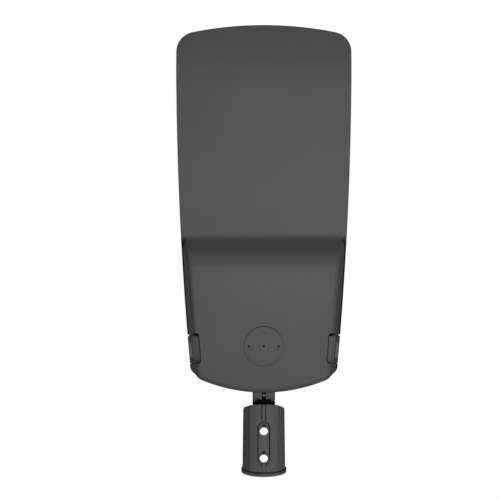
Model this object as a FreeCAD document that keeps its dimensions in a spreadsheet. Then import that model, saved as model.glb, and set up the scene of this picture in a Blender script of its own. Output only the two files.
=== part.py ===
"""LED street light head for a 60 mm pole end, seen from above in the photograph.

Frame: +Y from the spigot's mouth towards the nose of the lamp, +X to the right, +Z up.
The origin is the centre of the spigot's mouth, on the axis of its bore.
"""
import FreeCAD
import Part
import math
import os

import Sketcher

doc = FreeCAD.newDocument("street_light_head")


class Size:
    """A length or angle with its number and the expression that ties a property to the sheet."""

    def __init__(self, value, text):
        self.value = float(value)
        self.text = text

    def __add__(self, other):
        return Size(self.value + number(other), "(%s + %s)" % (self.text, words(other)))

    def __radd__(self, other):
        return Size(number(other) + self.value, "(%s + %s)" % (words(other), self.text))

    def __sub__(self, other):
        return Size(self.value - number(other), "(%s - %s)" % (self.text, words(other)))

    def __rsub__(self, other):
        return Size(number(other) - self.value, "(%s - %s)" % (words(other), self.text))

    def __mul__(self, other):
        return Size(self.value * number(other), "(%s * %s)" % (self.text, words(other)))

    def __rmul__(self, other):
        return Size(number(other) * self.value, "(%s * %s)" % (words(other), self.text))

    def __truediv__(self, other):
        return Size(self.value / number(other), "(%s / %s)" % (self.text, words(other)))

    def __neg__(self):
        return Size(-self.value, "(-1 * %s)" % self.text)


def number(size):
    return size.value if isinstance(size, Size) else float(size)


def words(size):
    return size.text if isinstance(size, Size) else "%.9g" % size


def sine(angle):
    return Size(math.sin(math.radians(angle.value)), "sin(%s)" % angle.text)


def cosine(angle):
    return Size(math.cos(math.radians(angle.value)), "cos(%s)" % angle.text)


def tangent(angle):
    return Size(math.tan(math.radians(angle.value)), "tan(%s)" % angle.text)


def square_root(size):
    return Size(math.sqrt(size.value), "sqrt(%s)" % size.text)


def arc_sine(size):
    return Size(math.degrees(math.asin(size.value)), "(asin(%s) / 1 deg)" % size.text)


SIZES = (
    # Head seen from above
    ("head_length", 626, "head from its tail to its nose"),
    ("head_width", 300, "head at its widest"),
    ("head_start", 137, "tail of the head ahead of the spigot's mouth"),
    ("widest_from_nose", 50, "widest place behind the nose"),
    ("side_bow", 5970, "radius of the long sides"),
    ("nose_bow", 587, "radius of the front edge"),
    ("tail_bow", 271, "radius of the rear edge"),
    ("nose_corner", 35, "radius of the front corners"),
    ("tail_corner", 15, "radius of the rear corners"),
    # Head seen from the side
    ("rim_drop", 7, "rim of the head below the spigot's axis"),
    ("skirt_depth", 38, "rim to underside"),
    ("hump_height", 52, "rim to the top of the gear hump"),
    ("ramp_foot", 265.6, "foot of the ramp ahead of the tail"),
    ("ramp_angle", 56, "slope of the ramp"),
    ("ramp_foot_round", 12.5, "hollow round at the foot of the ramp"),
    ("brow_round", 38, "round over the top of the ramp"),
    ("brow_slope", 7, "slope where the crown takes over"),
    ("crown_round", 440, "long round from the brow to the flat top"),
    ("droop_run", 100, "length of the drooping nose"),
    ("droop_drop", 12.5, "how far the nose droops"),
    ("side_lean", 14.6, "how far the hump's sides lean in"),
    ("tail_lean", 2.4, "how far the hump's tail leans in"),
    ("rim_ledge", 0.5, "ledge between rim and hump"),
    ("hump_round", 8, "round along the hump's upper edges"),
    ("base_round", 2, "round along the underside's outer edge"),
    ("rim_round", 1.5, "round along the rim"),
    ("barrel_round", 2.5, "round at the neck barrel's ends"),
    # Casting
    ("shell", 3.5, "wall of the castings"),
    ("heat_plate", 6.5, "top wall over the LED boards"),
    ("socket_pad_diameter", 65.2, "round pad for a photocell socket"),
    ("socket_pad_height", 1.0, "pad above the hump"),
    ("socket_pad_place", 80, "pad's centre ahead of the tail"),
    ("drill_mark_diameter", 4, "drill marks in the pad"),
    ("drill_mark_pitch", 24.3, "drill marks from the pad's centre"),
    ("drill_mark_depth", 2.5, "depth of the three drilled marks"),
    ("punch_mark_depth", 0.4, "depth of the two punched marks"),
    ("socket_pad_round", 0.8, "round at the pad's edge"),
    # Tilt joint
    ("barrel_diameter", 44, "neck barrel of the head"),
    ("barrel_width", 38, "neck barrel across"),
    ("barrel_ahead", 3, "tilt axis ahead of the tail"),
    ("drum_diameter", 34.6, "drum of the spigot"),
    ("drum_gap", 0.3, "play between drum and barrel"),
    ("cheek", 6.5, "side walls of the barrel"),
    ("mouth_angle", 45.5, "half opening of the barrel towards the spigot"),
    ("tongue_height", 16, "web between spigot and drum"),
    ("shoulder_top", 8, "top of the shoulder behind the barrel above the axis"),
    ("shoulder_foot", 12, "underside of that shoulder below the axis"),
    ("shoulder_gap", 0.4, "gap between shoulder and barrel"),
    ("wire_passage", 12, "cable passage through web and drum"),
    ("guide_slot_width", 6.6, "slot for the guide screw"),
    ("guide_angle", 64, "guide screw above the joint's rear"),
    ("guide_screw", 6, "guide screw"),
    ("tilt_screw", 8, "pivot screws that the head turns on"),
    ("gland_face", 26, "gland's seat ahead of the tilt axis"),
    ("gland_boss", 30, "boss round the gland"),
    ("gland_thread", 16, "gland thread"),
    ("gland_seal", 1.5, "gland's sealing ring"),
    ("earth_screw", 4, "earth screw in the gear tray"),
    ("gland_cable", 9, "cable hole of the gland"),
    ("running_gap", 0.1, "radial play of turning fits"),
    # Spigot
    ("spigot_bore", 62, "bore for the pole"),
    ("spigot_length", 106.6, "mouth to the slanted end, on the axis"),
    ("spigot_slant", 20.8, "slant of that end, its top further ahead"),
    ("spigot_bore_length", 89, "bore from the mouth to the ledge that stops the pole"),
    ("spigot_ledge", 3, "width of that ledge"),
    ("spigot_end_wall", 5, "wall between the hollow and the slanted end"),
    ("spigot_end_diameter", 69.6, "outside at the slanted end"),
    ("spigot_mouth_diameter", 72.6, "outside beside the collar"),
    ("spigot_end_round", 1.6, "round at the slanted end's edge"),
    ("collar_diameter", 76.6, "collar at the mouth"),
    ("collar_width", 5.4, "collar along the axis"),
    ("clamp_hole", 13.5, "clamp screw holes"),
    ("clamp_hole_near", 29.4, "first clamp hole from the mouth"),
    ("clamp_hole_pitch", 45, "second clamp hole from the first"),
    ("panel_width", 19.4, "sunk panel round the clamp holes"),
    ("panel_level", 32.9, "floor of the panel above the axis"),
    ("boss_level", 35.4, "bosses round the holes above the axis"),
    ("rib_width", 6.3, "crest rib"),
    ("rib_level", 37.2, "top of the crest rib above the axis"),
    ("land_level", 35.2, "middle of the spigot's flattened top above the axis"),
    ("land_bow", 50, "radius of the flattened top"),
    ("land_half", 23, "crease of the flattened top from the middle"),
    ("flank_foot", 17, "foot of the flat flanks above the axis"),
    ("flank_lean", 28, "lean of the flat flanks"),
    ("clamp_boss", 2.75, "wall of the bosses round the clamp holes"),
    ("slit_width", 16, "slit in the underside"),
    ("slit_length", 78, "slit from the mouth"),
    # Underside of the LED side
    ("bridge_start", 259.5, "rear of the bridge ahead of the tail"),
    ("bridge_width", 14.5, "bridge between the door and the LED window"),
    ("bulkhead_ahead", 5.4, "gear room's front wall ahead of the ramp's foot"),
    ("window_corner", 22, "rear corners of the LED window"),
    ("window_recess", 11, "depth of the recess for frame and glass"),
    ("frame_gap", 0.7, "play round the window frame"),
    ("frame_lip", 3, "lip of the frame over the glass"),
    ("frame_sunk", 2, "frame above the underside"),
    ("glass_inset", 12, "edge of the glass in from the rim"),
    ("glass_thickness", 4, "glass"),
    ("gasket_width", 3.4, "glass gasket"),
    ("frame_inner", 19, "opening of the frame in from the rim"),
    ("frame_upright", 7, "upright ring of the frame"),
    ("frame_screw_inset", 7.7, "frame screws in from the rim"),
    ("frame_screw", 4, "frame screws"),
    ("frame_screw_head", 7.5, "heads of the frame screws"),
    ("frame_boss", 8, "bosses of the frame screws"),
    ("channel_roof", 5, "wall over the hollow round the LED chamber"),
    ("channel_inner", 12.5, "inner side of the hollow round the LED chamber"),
    ("chamber_inset", 16, "LED chamber in from the rim"),
    # LED modules
    ("board_width", 236, "LED board across"),
    ("board_depth", 66, "LED board along Y"),
    ("board_gap", 6, "gap between the boards"),
    ("board_thickness", 1.6, "LED board"),
    ("board_start", 5, "first board ahead of the chamber's rear wall"),
    ("led_pitch_across", 37, "LED to LED across"),
    ("led_pitch_along", 31, "LED to LED along Y"),
    ("led_side", 5, "LED package"),
    ("led_height", 0.7, "LED package height"),
    ("lens_foot", 24, "lens dome at its foot"),
    ("lens_top", 15, "lens dome at its top"),
    ("lens_rise", 6, "lens dome height"),
    ("lens_plate_gap", 1.2, "lens plate over the board"),
    ("lens_plate_thickness", 2, "lens plate"),
    ("lens_plate_margin", 2, "lens plate in from the board's edge"),
    ("module_screw", 3, "screws of the LED modules"),
    ("module_screw_grip", 3, "their grip in the heat plate"),
    ("module_screw_half", 24, "screws from the middle of a board"),
    ("grommet", 12, "grommet for the leads to the LEDs"),
    # Door
    ("seam", 0.5, "gap between housing and door"),
    ("door_depth", 17.5, "door's side wall"),
    ("door_plate", 3, "door's plate"),
    ("door_panel_inset", 13, "sunk panel of the door in from its edge"),
    ("door_panel_depth", 0.8, "depth of that panel"),
    ("door_edge", 0.3, "door's outline in from the rim"),
    ("seal_height", 2.5, "door gasket as pressed"),
    ("seal_outer", 2.5, "outer edge of the door gasket"),
    ("seal_inner", 6.5, "inner edge of the door gasket"),
    ("seal_land", 7, "inner edge of the sealing faces"),
    ("seal_flange", 3, "flange of the housing over the gasket"),
    ("hinge_ahead", 6.5, "hinge axis ahead of the door's front"),
    ("hinge_knuckle", 9, "hinge knuckles"),
    ("hinge_offset", 80, "hinges from the middle"),
    ("hinge_width", 24, "hinge knuckle along its pin"),
    ("hinge_pin", 5, "hinge pins"),
    ("hinge_pin_length", 40, "hinge pin length"),
    ("hinge_play", 0.6, "gap round the knuckles"),
    # Latches
    ("latch_place", 68.5, "middle of the latches ahead of the tail"),
    ("latch_length", 44.7, "latch along the side"),
    ("latch_slit", 3, "slit at each end of a latch"),
    ("notch_depth", 24.4, "latch notch in from the rim"),
    ("notch_lean", 6.5, "how far the notch moves towards the nose up to the crown"),
    ("latch_back_gap", 4.4, "lever end to the notch's inner wall"),
    ("latch_hub", 8.4, "hub round the latch pin"),
    ("latch_plate", 4, "outer plate of a latch"),
    ("latch_face", 0.6, "outer face of a latch in from the rim"),
    ("latch_pivot_in", 10, "latch pin in from the rim"),
    ("latch_pivot_up", 4, "latch pin above the rim"),
    ("latch_pin", 4, "latch pin"),
    ("latch_tooth", 5, "reach of the tooth"),
    ("latch_tooth_height", 3, "height of the tooth"),
    ("latch_foot", 6.6, "latch's lower edge above the underside"),
    ("latch_lip", 5.2, "face of the door behind the latch's plate"),
    ("latch_play", 0.6, "play round the tooth"),
    ("pad_length", 24, "raised finger pad"),
    ("pad_height", 3, "finger pad above the latch"),
    # Gear
    ("tray_thickness", 1.5, "gear tray"),
    ("tray_length", 180, "gear tray along Y"),
    ("tray_width", 190, "gear tray across"),
    ("tray_start", 30, "gear tray ahead of the tail"),
    ("tray_level", 37, "gear tray above the rim"),
    ("tray_flange", 8, "folded edges of the tray"),
    ("tray_screw", 4, "screws of the gear tray"),
    ("driver_place", -44, "LED driver's middle from the lamp's middle"),
    ("driver_length", 150, "LED driver"),
    ("driver_width", 68, "LED driver across"),
    ("driver_height", 36, "LED driver height"),
)

sheet = doc.addObject("Spreadsheet::Sheet", "sizes")
size = {}
for row, (alias, value, meaning) in enumerate(SIZES, start=1):
    sheet.set("A%d" % row, meaning)
    sheet.set("B%d" % row, "%g" % value)
    sheet.setAlias("B%d" % row, alias)
    size[alias] = Size(value, "sizes." + alias)
doc.recompute()


def bind(item, name, value):
    """Ties a property to the sheet, or sets it where it is a plain number."""
    if isinstance(value, Size):
        item.setExpression(name, value.text)
    else:
        item.setExpression(name, words(value))


def new_body(label):
    body = doc.addObject("PartDesign::Body", label)
    body.Label = label
    return body


def new_sketch(body, plane, level=0):
    """A sketch on one of the body's planes, moved along the world axis that the plane faces.

    XY looks up at Z = level, YZ looks along +X at X = level, XZ looks along -Y at Y = level.
    """
    sketch = body.newObject("Sketcher::SketchObject", "sketch")
    origin = [item for item in body.Origin.OriginFeatures if item.Role == plane + "_Plane"][0]
    sketch.AttachmentSupport = (origin, "")
    sketch.MapMode = "FlatFace"
    away = -1 * level if plane == "XZ" else level
    bind(sketch, "AttachmentOffset.Base.z", away)
    return sketch


def fixed(kind, *reference):
    """One constraint whose last value is a size, with the expression that drives it."""
    value = reference[-1]
    text = value.text if isinstance(value, Size) else None
    return Sketcher.Constraint(kind, *reference[:-1], number(value)), text


def held_point(edge, end, across, up):
    """Holds a point of an edge at its distances from the sketch's origin."""
    rules = []
    for kind, value, axis in (("DistanceX", across, -2), ("DistanceY", up, -1)):
        if not isinstance(value, Size) and value == 0:
            rules.append((Sketcher.Constraint("PointOnObject", edge, end, axis), None))
        else:
            rules.append(fixed(kind, -1, 1, edge, end, value))
    return rules


def constrain(sketch, rules):
    """Adds constraints in one go, then ties the dimensions among them to the sheet."""
    first = sketch.ConstraintCount
    sketch.addConstraint([rule for rule, text in rules])
    for index, (rule, text) in enumerate(rules, start=first):
        if text:
            sketch.setExpression("Constraints[%d]" % index, text)


def add_circles(sketch, points, radius):
    """Equal circles; the first carries the radius."""
    rules = []
    rings = [Part.Circle(FreeCAD.Vector(number(x), number(y), 0), FreeCAD.Vector(0, 0, 1), number(radius))
             for x, y in points]
    edges = sketch.addGeometry(rings, False)
    for edge, (x, y) in zip(edges, points):
        rules += held_point(edge, 3, x, y)
        rules.append(fixed("Radius", edge, radius))
    constrain(sketch, rules)


def add_circle(sketch, across, up, radius):
    add_circles(sketch, [(across, up)], radius)


def arc_between(start, end, radius):
    """An arc from start to end, bulging right of the way for a positive radius (counter-clockwise)."""
    way = end - start
    half = way.Length / 2
    left = FreeCAD.Vector(-way.y, way.x, 0) / way.Length
    reach = math.sqrt(max(radius * radius - half * half, 0.0))
    centre = (start + end) / 2 + left * math.copysign(reach, radius)
    first, last = (start, end) if radius > 0 else (end, start)
    circle = Part.Circle(centre, FreeCAD.Vector(0, 0, 1), abs(radius))
    angles = [math.atan2(point.y - centre.y, point.x - centre.x) for point in (first, last)]
    if angles[1] < angles[0]:
        angles[1] += 2 * math.pi
    return Part.ArcOfCircle(circle, angles[0], angles[1])


def add_loops(sketch, loops):
    """Closed outlines. A corner is (across, up), or (across, up, radius) where an arc leaves it.

    A positive radius turns left on the way to the next corner, a negative one turns right.
    """
    shapes = []
    rules = []
    for corners in loops:
        points = [FreeCAD.Vector(number(corner[0]), number(corner[1]), 0) for corner in corners]
        first = len(shapes) + sketch.GeometryCount
        ends = []
        for index, corner in enumerate(corners):
            start = points[index]
            end = points[(index + 1) % len(points)]
            turn = number(corner[2]) if len(corner) == 3 else 0
            shapes.append(arc_between(start, end, turn) if turn else Part.LineSegment(start, end))
            ends.append((2, 1) if turn < 0 else (1, 2))
        for index, corner in enumerate(corners):
            edge = first + index
            before = (index - 1) % len(corners)
            rules.append((Sketcher.Constraint("Coincident", first + before, ends[before][1], edge,
                                              ends[index][0]), None))
            rules += held_point(edge, ends[index][0], corner[0], corner[1])
            if len(corner) == 3:
                turn = corner[2]
                rules.append(fixed("Radius", edge, turn if number(turn) > 0 else -1 * turn))
    sketch.addGeometry(shapes, False)
    constrain(sketch, rules)


def add_loop(sketch, *corners):
    add_loops(sketch, [corners])


def add_rectangle(sketch, left, right, low, high):
    add_loop(sketch, (left, low), (right, low), (right, high), (left, high))


def pad(body, sketch, length, taper=None):
    """Material from the sketch along the way it looks."""
    feature = body.newObject("PartDesign::Pad", "pad")
    feature.Profile = sketch
    bind(feature, "Length", length)
    if taper is not None:
        bind(feature, "TaperAngle", taper)
    body.Tip = feature
    return feature


def cut(body, sketch, length):
    """Takes material away from the sketch along the way it looks."""
    feature = body.newObject("PartDesign::Pocket", "pocket")
    feature.Profile = sketch
    feature.Reversed = True
    bind(feature, "Length", length)
    body.Tip = feature
    return feature


def box(body, x, y, z, take=False):
    """A block between pairs of limits, added or taken away."""
    sketch = new_sketch(body, "XY", z[0])
    add_rectangle(sketch, x[0], x[1], y[0], y[1])
    return (cut if take else pad)(body, sketch, z[1] - z[0])


def rod(body, plane, centre, radius, limits, take=False):
    """A cylinder along the way a plane looks, between two limits on the world axis."""
    start, end = (limits[1], limits[0]) if plane == "XZ" else limits
    sketch = new_sketch(body, plane, start)
    add_circle(sketch, centre[0], centre[1], radius)
    length = start - end if plane == "XZ" else end - start
    return (cut if take else pad)(body, sketch, length)


def revolve(body, sketch, axis):
    feature = body.newObject("PartDesign::Revolution", "turned")
    feature.Profile = sketch
    feature.ReferenceAxis = (sketch, [axis])
    feature.Angle = 360
    body.Tip = feature
    return feature


def round_edges(body, feature, radius, wanted):
    """Rounds the edges of a feature that the test picks."""
    doc.recompute()
    names = ["Edge%d" % (i + 1) for i, edge in enumerate(feature.Shape.Edges) if wanted(edge)]
    rounded = body.newObject("PartDesign::Fillet", "rounded")
    rounded.Base = (feature, names)
    bind(rounded, "Radius", radius)
    body.Tip = rounded
    return rounded


def cut_from(label, base, tools):
    """One piece with the shapes of other objects taken away."""
    piece = base
    for tool in tools:
        result = doc.addObject("Part::Cut", "hollowed")
        result.Base = piece
        result.Tool = tool
        piece = result
    piece.Label = label
    return piece


# Places that several pieces share
rim = -size["rim_drop"]
base = rim - size["skirt_depth"]
crown = rim + size["hump_height"]
tail = size["head_start"]
nose = tail + size["head_length"]
half_width = size["head_width"] / 2
widest = nose - size["widest_from_nose"]
foot = tail + size["ramp_foot"]
tilt_y = tail + size["barrel_ahead"]
door_front = tail + size["bridge_start"]
window_rear = door_front + size["bridge_width"]
clear = 1.0


def half_at(place):
    """Half the head's width at a place along Y, from the long side arcs."""
    bow = size["side_bow"]
    return half_width - bow + square_root(bow * bow - (widest - place) * (widest - place))


def plan(sketch, inset, tail_inset=None, front=None, rear=None, front_corner=None, rear_corner=None):
    """The head's outline from above, moved in by inset.

    A front or rear given as a place along Y replaces that end's arc by a straight line.
    The corners are arcs tangent to their neighbours.
    """
    tail_inset = inset if tail_inset is None else tail_inset
    front_corner = size["nose_corner"] - inset if front_corner is None else front_corner
    rear_corner = size["tail_corner"] - inset if rear_corner is None else rear_corner
    side = size["side_bow"] - inset
    side_x = half_width - size["side_bow"]
    nose_arc = size["nose_bow"] - inset
    nose_y = nose - size["nose_bow"]
    tail_arc = size["tail_bow"] - tail_inset
    tail_y = tail + size["tail_bow"]
    vector = FreeCAD.Vector

    def corner_centre(radius, line, arc_centre, arc_radius, upward):
        """Centre of the corner that touches the right side and the end's line or arc."""
        reach = number(side) - number(radius)
        cx, cy = number(side_x), number(widest)
        if line is not None:
            y = number(line) - upward * number(radius)
            return vector(cx + math.sqrt(reach * reach - (y - cy) ** 2), y, 0)
        other = number(arc_radius) - number(radius)
        ox, oy = 0.0, number(arc_centre)
        gap = math.hypot(ox - cx, oy - cy)
        along = (reach * reach - other * other + gap * gap) / (2 * gap)
        off = math.sqrt(reach * reach - along * along)
        ux, uy = (ox - cx) / gap, (oy - cy) / gap
        mx, my = cx + ux * along, cy + uy * along
        found = [vector(mx - uy * off, my + ux * off, 0), vector(mx + uy * off, my - ux * off, 0)]
        return max(found, key=lambda point: upward * point.y)

    def touch(centre, circle_centre, circle_radius):
        way = centre - circle_centre
        return circle_centre + way * (circle_radius / way.Length)

    def arc(centre, radius, start, end):
        circle = Part.Circle(centre, vector(0, 0, 1), radius)
        angles = [math.atan2(p.y - centre.y, p.x - centre.x) for p in (start, end)]
        if angles[1] < angles[0]:
            angles[1] += 2 * math.pi
        return Part.ArcOfCircle(circle, angles[0], angles[1])

    def mirror(point):
        return vector(-point.x, point.y, 0)

    side_centre = vector(number(side_x), number(widest), 0)
    ends = []
    for radius, line, y, end_radius, upward in (
        (front_corner, front, nose_y, nose_arc, 1),
        (rear_corner, rear, tail_y, tail_arc, -1),
    ):
        centre = corner_centre(radius, line, y, end_radius, upward)
        on_side = touch(centre, side_centre, number(side))
        if line is not None:
            on_end = vector(centre.x, number(line), 0)
        else:
            on_end = touch(centre, vector(0, number(y), 0), number(end_radius))
        ends.append((centre, on_side, on_end))
    (front_c, front_side, front_end), (rear_c, rear_side, rear_end) = ends
    if front is None:
        front_edge = arc(vector(0, number(nose_y), 0), number(nose_arc), front_end, mirror(front_end))
    else:
        front_edge = Part.LineSegment(front_end, mirror(front_end))
    if rear is None:
        rear_edge = arc(vector(0, number(tail_y), 0), number(tail_arc), mirror(rear_end), rear_end)
    else:
        rear_edge = Part.LineSegment(mirror(rear_end), rear_end)
    first = sketch.GeometryCount
    sketch.addGeometry([
        front_edge,
        arc(mirror(front_c), number(front_corner), mirror(front_end), mirror(front_side)),
        arc(mirror(side_centre), number(side), mirror(front_side), mirror(rear_side)),
        arc(mirror(rear_c), number(rear_corner), mirror(rear_side), mirror(rear_end)),
        rear_edge,
        arc(rear_c, number(rear_corner), rear_end, rear_side),
        arc(side_centre, number(side), rear_side, front_side),
        arc(front_c, number(front_corner), front_side, front_end),
    ], False)
    rules = [(Sketcher.Constraint("Tangent", first + step, 2, first + (step + 1) % 8, 1), None)
             for step in range(8)]
    for step, radius in ((1, front_corner), (2, side), (3, rear_corner), (5, rear_corner), (6, side),
                         (7, front_corner)):
        rules.append(fixed("Radius", first + step, radius))
    rules += held_point(first + 2, 3, -side_x, widest)
    rules += held_point(first + 6, 3, side_x, widest)
    for step, line, y, radius in ((0, front, nose_y, nose_arc), (4, rear, tail_y, tail_arc)):
        if line is None:
            rules.append(fixed("Radius", first + step, radius))
            rules += held_point(first + step, 3, 0, y)
        else:
            rules.append((Sketcher.Constraint("Horizontal", first + step), None))
            rules.append(fixed("DistanceY", -1, 1, first + step, 1, line))
    constrain(sketch, rules)


def ramp_points(inset):
    """The ramp, brow and crown in side view, moved in by inset."""
    a = size["ramp_angle"]
    b = size["brow_slope"]
    hollow = size["ramp_foot_round"]
    brow = size["brow_round"]
    crest = size["crown_round"]
    foot_y = foot - hollow * sine(a)
    foot_z = rim + hollow * (1 - cosine(a))
    rounds = hollow * (1 - cosine(a)) + brow * (cosine(b) - cosine(a)) + crest * (1 - cosine(b))
    rise = size["hump_height"] - rounds
    brow_y = foot_y - rise / tangent(a) - brow * sine(a)
    brow_z = foot_z + rise - brow * cosine(a)
    crest_y = brow_y + (brow - crest) * sine(b)
    inner_brow = brow - inset
    top_of_ramp = (brow_y + inner_brow * sine(a), brow_z + inner_brow * cosine(a))
    top_of_brow = (brow_y + inner_brow * sine(b), brow_z + inner_brow * cosine(b))
    start_of_crown = (crest_y, crown - inset)
    return (foot_y, foot_z), top_of_ramp, top_of_brow, start_of_crown


def cut_ramp(body, inset, low):
    """Takes away what stands ahead of the ramp and above the brow and crown."""
    above = crown + 20
    ahead = foot + 60
    ramp, brow, start = ramp_points(inset)[1:]
    ramp_y = ramp[0] + (ramp[1] - low) / tangent(size["ramp_angle"])
    sketch = new_sketch(body, "YZ", -half_width - 10)
    add_loop(
        sketch,
        (ramp_y, low),
        (ramp[0], ramp[1], size["brow_round"] - inset),
        (brow[0], brow[1], size["crown_round"] - inset),
        start,
        (start[0], above),
        (ahead, above),
        (ahead, low),
    )
    return cut(body, sketch, size["head_width"] + 20)


def cut_nose(body, drop):
    """Takes away what stands above the drooping nose, lowered by drop."""
    run = size["droop_run"]
    fall = size["droop_drop"]
    radius = (run * run + fall * fall) / (2 * fall)
    far = run + 12
    far_fall = radius - square_root(radius * radius - far * far)
    start = nose - run
    level = rim - drop
    sketch = new_sketch(body, "YZ", -half_width - 10)
    add_loop(
        sketch,
        (start + far, level - far_fall, radius),
        (start, level),
        (start, level + 30),
        (start + far, level + 30),
    )
    return cut(body, sketch, size["head_width"] + 20)


def latch_frame(side):
    """Where a latch sits: its place on the rim and its turn about Z, for side 1 (right) or -1."""
    place = tail + size["latch_place"]
    turn = arc_sine((widest - place) / size["side_bow"])
    return side * half_at(place), place, (-turn if side > 0 else 180 + turn)


def place_at_latch(item, side):
    x, y, turn = latch_frame(side)
    bind(item, "Placement.Base.x", x)
    bind(item, "Placement.Base.y", y)
    item.Placement.Rotation = FreeCAD.Rotation(FreeCAD.Vector(0, 0, 1), number(turn))
    bind(item, "Placement.Rotation.Angle", turn)


def latch_corner(side, inward, along):
    """World place of a point beside a latch: inward from the rim and along the side."""
    x, y, turn = latch_frame(side)
    return (x - inward * cosine(turn) - along * sine(turn),
            y - inward * sine(turn) + along * cosine(turn))


def latch_bays(body, inward, half_length, z, take=True, ahead=0):
    """Blocks in line with both latches, from beyond the rim to a depth, added or taken away."""
    for side in (1, -1):
        sketch = new_sketch(body, "XY", z[0])
        rear = -side * half_length
        front = side * (half_length + ahead)
        add_loop(sketch, latch_corner(side, inward, rear), latch_corner(side, -8, rear),
                 latch_corner(side, -8, front), latch_corner(side, inward, front))
        (cut if take else pad)(body, sketch, z[1] - z[0])


notch_half = size["latch_length"] / 2 + size["latch_slit"]
housing_foot = base + size["door_depth"] + size["seam"]
seal_level = housing_foot - size["seal_height"]
chamber_top = rim - size["heat_plate"]
recess_top = base + size["window_recess"]
frame_foot = base + size["frame_sunk"]
glass_foot = frame_foot + size["frame_lip"]
glass_top = glass_foot + size["glass_thickness"]
board_foot = chamber_top - size["board_thickness"]
lens_top = board_foot - size["lens_plate_gap"]
lens_foot = lens_top - size["lens_plate_thickness"]
hinge_y = door_front - size["seam"] + size["hinge_ahead"]
hinge_z = base + size["hinge_knuckle"] / 2
tray_top = rim + size["tray_level"]
tray_foot = tray_top - size["tray_thickness"]
mouth_half = size["barrel_diameter"] / 2 * sine(size["mouth_angle"])
chamber_front = widest + 0.5


def hump(body, inset, root):
    """The gear hump from its root upward, or with an inset the space inside it."""
    side = size["rim_ledge"] + inset
    corner = size["tail_corner"] - inset
    low = new_sketch(body, "XY", root)
    plan(low, side, front=foot + 20, front_corner=3, rear_corner=corner)
    high = new_sketch(body, "XY", crown - inset)
    plan(high, side + size["side_lean"], tail_inset=side + size["tail_lean"], front=foot + 20,
         front_corner=3, rear_corner=corner)
    form = body.newObject("PartDesign::AdditiveLoft", "leaning_walls")
    form.Profile = low
    form.Sections = [high]
    form.Ruled = True
    body.Tip = form
    return cut_ramp(body, inset, root - clear)


def make_slab():
    """The flat body of the head with its drooping nose, and the hollow round at the ramp's foot."""
    body = new_body("slab")
    outline = new_sketch(body, "XY", base)
    plan(outline, 0)
    pad(body, outline, size["skirt_depth"])
    drooped = cut_nose(body, 0)
    base_z = number(base)
    round_edges(body, drooped, size["base_round"], lambda edge: edge.BoundBox.ZMax < base_z + 0.01)
    low = number(rim - size["droop_drop"]) - 2
    round_edges(body, body.Tip, size["rim_round"], lambda edge: edge.BoundBox.ZMin > low and
                not (edge.BoundBox.YLength < 1 and edge.BoundBox.XLength > 100))
    hollow_y, hollow_z = ramp_points(0)[0]
    hollow_half = half_at(foot) - size["rim_ledge"] - 1.4
    hollow = new_sketch(body, "YZ", -hollow_half)
    add_loop(hollow, (foot, rim, -size["ramp_foot_round"]), (hollow_y, hollow_z),
             (hollow_y - 4, rim - clear), (foot, rim - clear))
    pad(body, hollow, hollow_half * 2)
    return body


def make_outer_hump():
    """The outside of the gear hump with the pad for a photocell socket."""
    body = new_body("outer_hump")
    bare = hump(body, 0, rim - clear)
    root_z, tail_zone = number(rim) - 0.5, number(tail) + 40
    broad = number(size["head_width"]) / 2

    def upper_edge(edge):
        """The hump's upper rim: its tail and sides at the top, and the ramp's sides."""
        limits = edge.BoundBox
        upright = limits.ZMin < root_z and limits.YMax < tail_zone
        across_front = limits.XLength > broad and limits.YMin > tail_zone
        return limits.ZMax > root_z and not upright and not across_front

    round_edges(body, bare, size["hump_round"], upper_edge)
    pad_y = tail + size["socket_pad_place"]
    top = crown + size["socket_pad_height"]
    disc = rod(body, "XY", (0, pad_y), size["socket_pad_diameter"] / 2, (crown - clear, top))
    top_z = number(top)
    round_edges(body, disc, size["socket_pad_round"], lambda edge: edge.BoundBox.ZMin > top_z - 0.01)
    pitch = size["drill_mark_pitch"]
    for depth, points in ((size["drill_mark_depth"], ((0, pad_y), (pitch, pad_y), (-pitch, pad_y))),
                          (size["punch_mark_depth"], ((0, pad_y + pitch), (0, pad_y - pitch)))):
        marks = new_sketch(body, "XY", top - depth)
        add_circles(marks, points, size["drill_mark_diameter"] / 2)
        cut(body, marks, depth + clear)
    return body


def make_barrel():
    """The neck barrel, rounded at its ends."""
    body = new_body("neck_barrel")
    half = size["barrel_width"] / 2
    drum = rod(body, "YZ", (tilt_y, 0), size["barrel_diameter"] / 2, (-half, half))
    round_edges(body, drum, size["barrel_round"], lambda edge: edge.BoundBox.XLength < 0.01)
    return body


def join(label, first, *others):
    """One piece made of several shapes."""
    piece = doc.addObject("Part::MultiFuse", "joined")
    piece.Shapes = [first, *others]
    piece.Label = label
    return piece


def door_outline(sketch, inset, corner, rear_corner=None):
    """The gear door's outline moved in by inset."""
    plan(sketch, inset, front=door_front - size["seam"] - inset, front_corner=corner,
         rear_corner=rear_corner)


def sealed_space(label, inset, z, corner=2):
    """The space within the door's outline, kept clear of both latch bays by the same inset."""
    body = new_body(label)
    sketch = new_sketch(body, "XY", z[0])
    door_outline(sketch, inset, corner)
    pad(body, sketch, z[1] - z[0])
    latch_bays(body, size["notch_depth"] + inset, notch_half + inset, (z[0] - clear, z[1] + clear))
    return body


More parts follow.
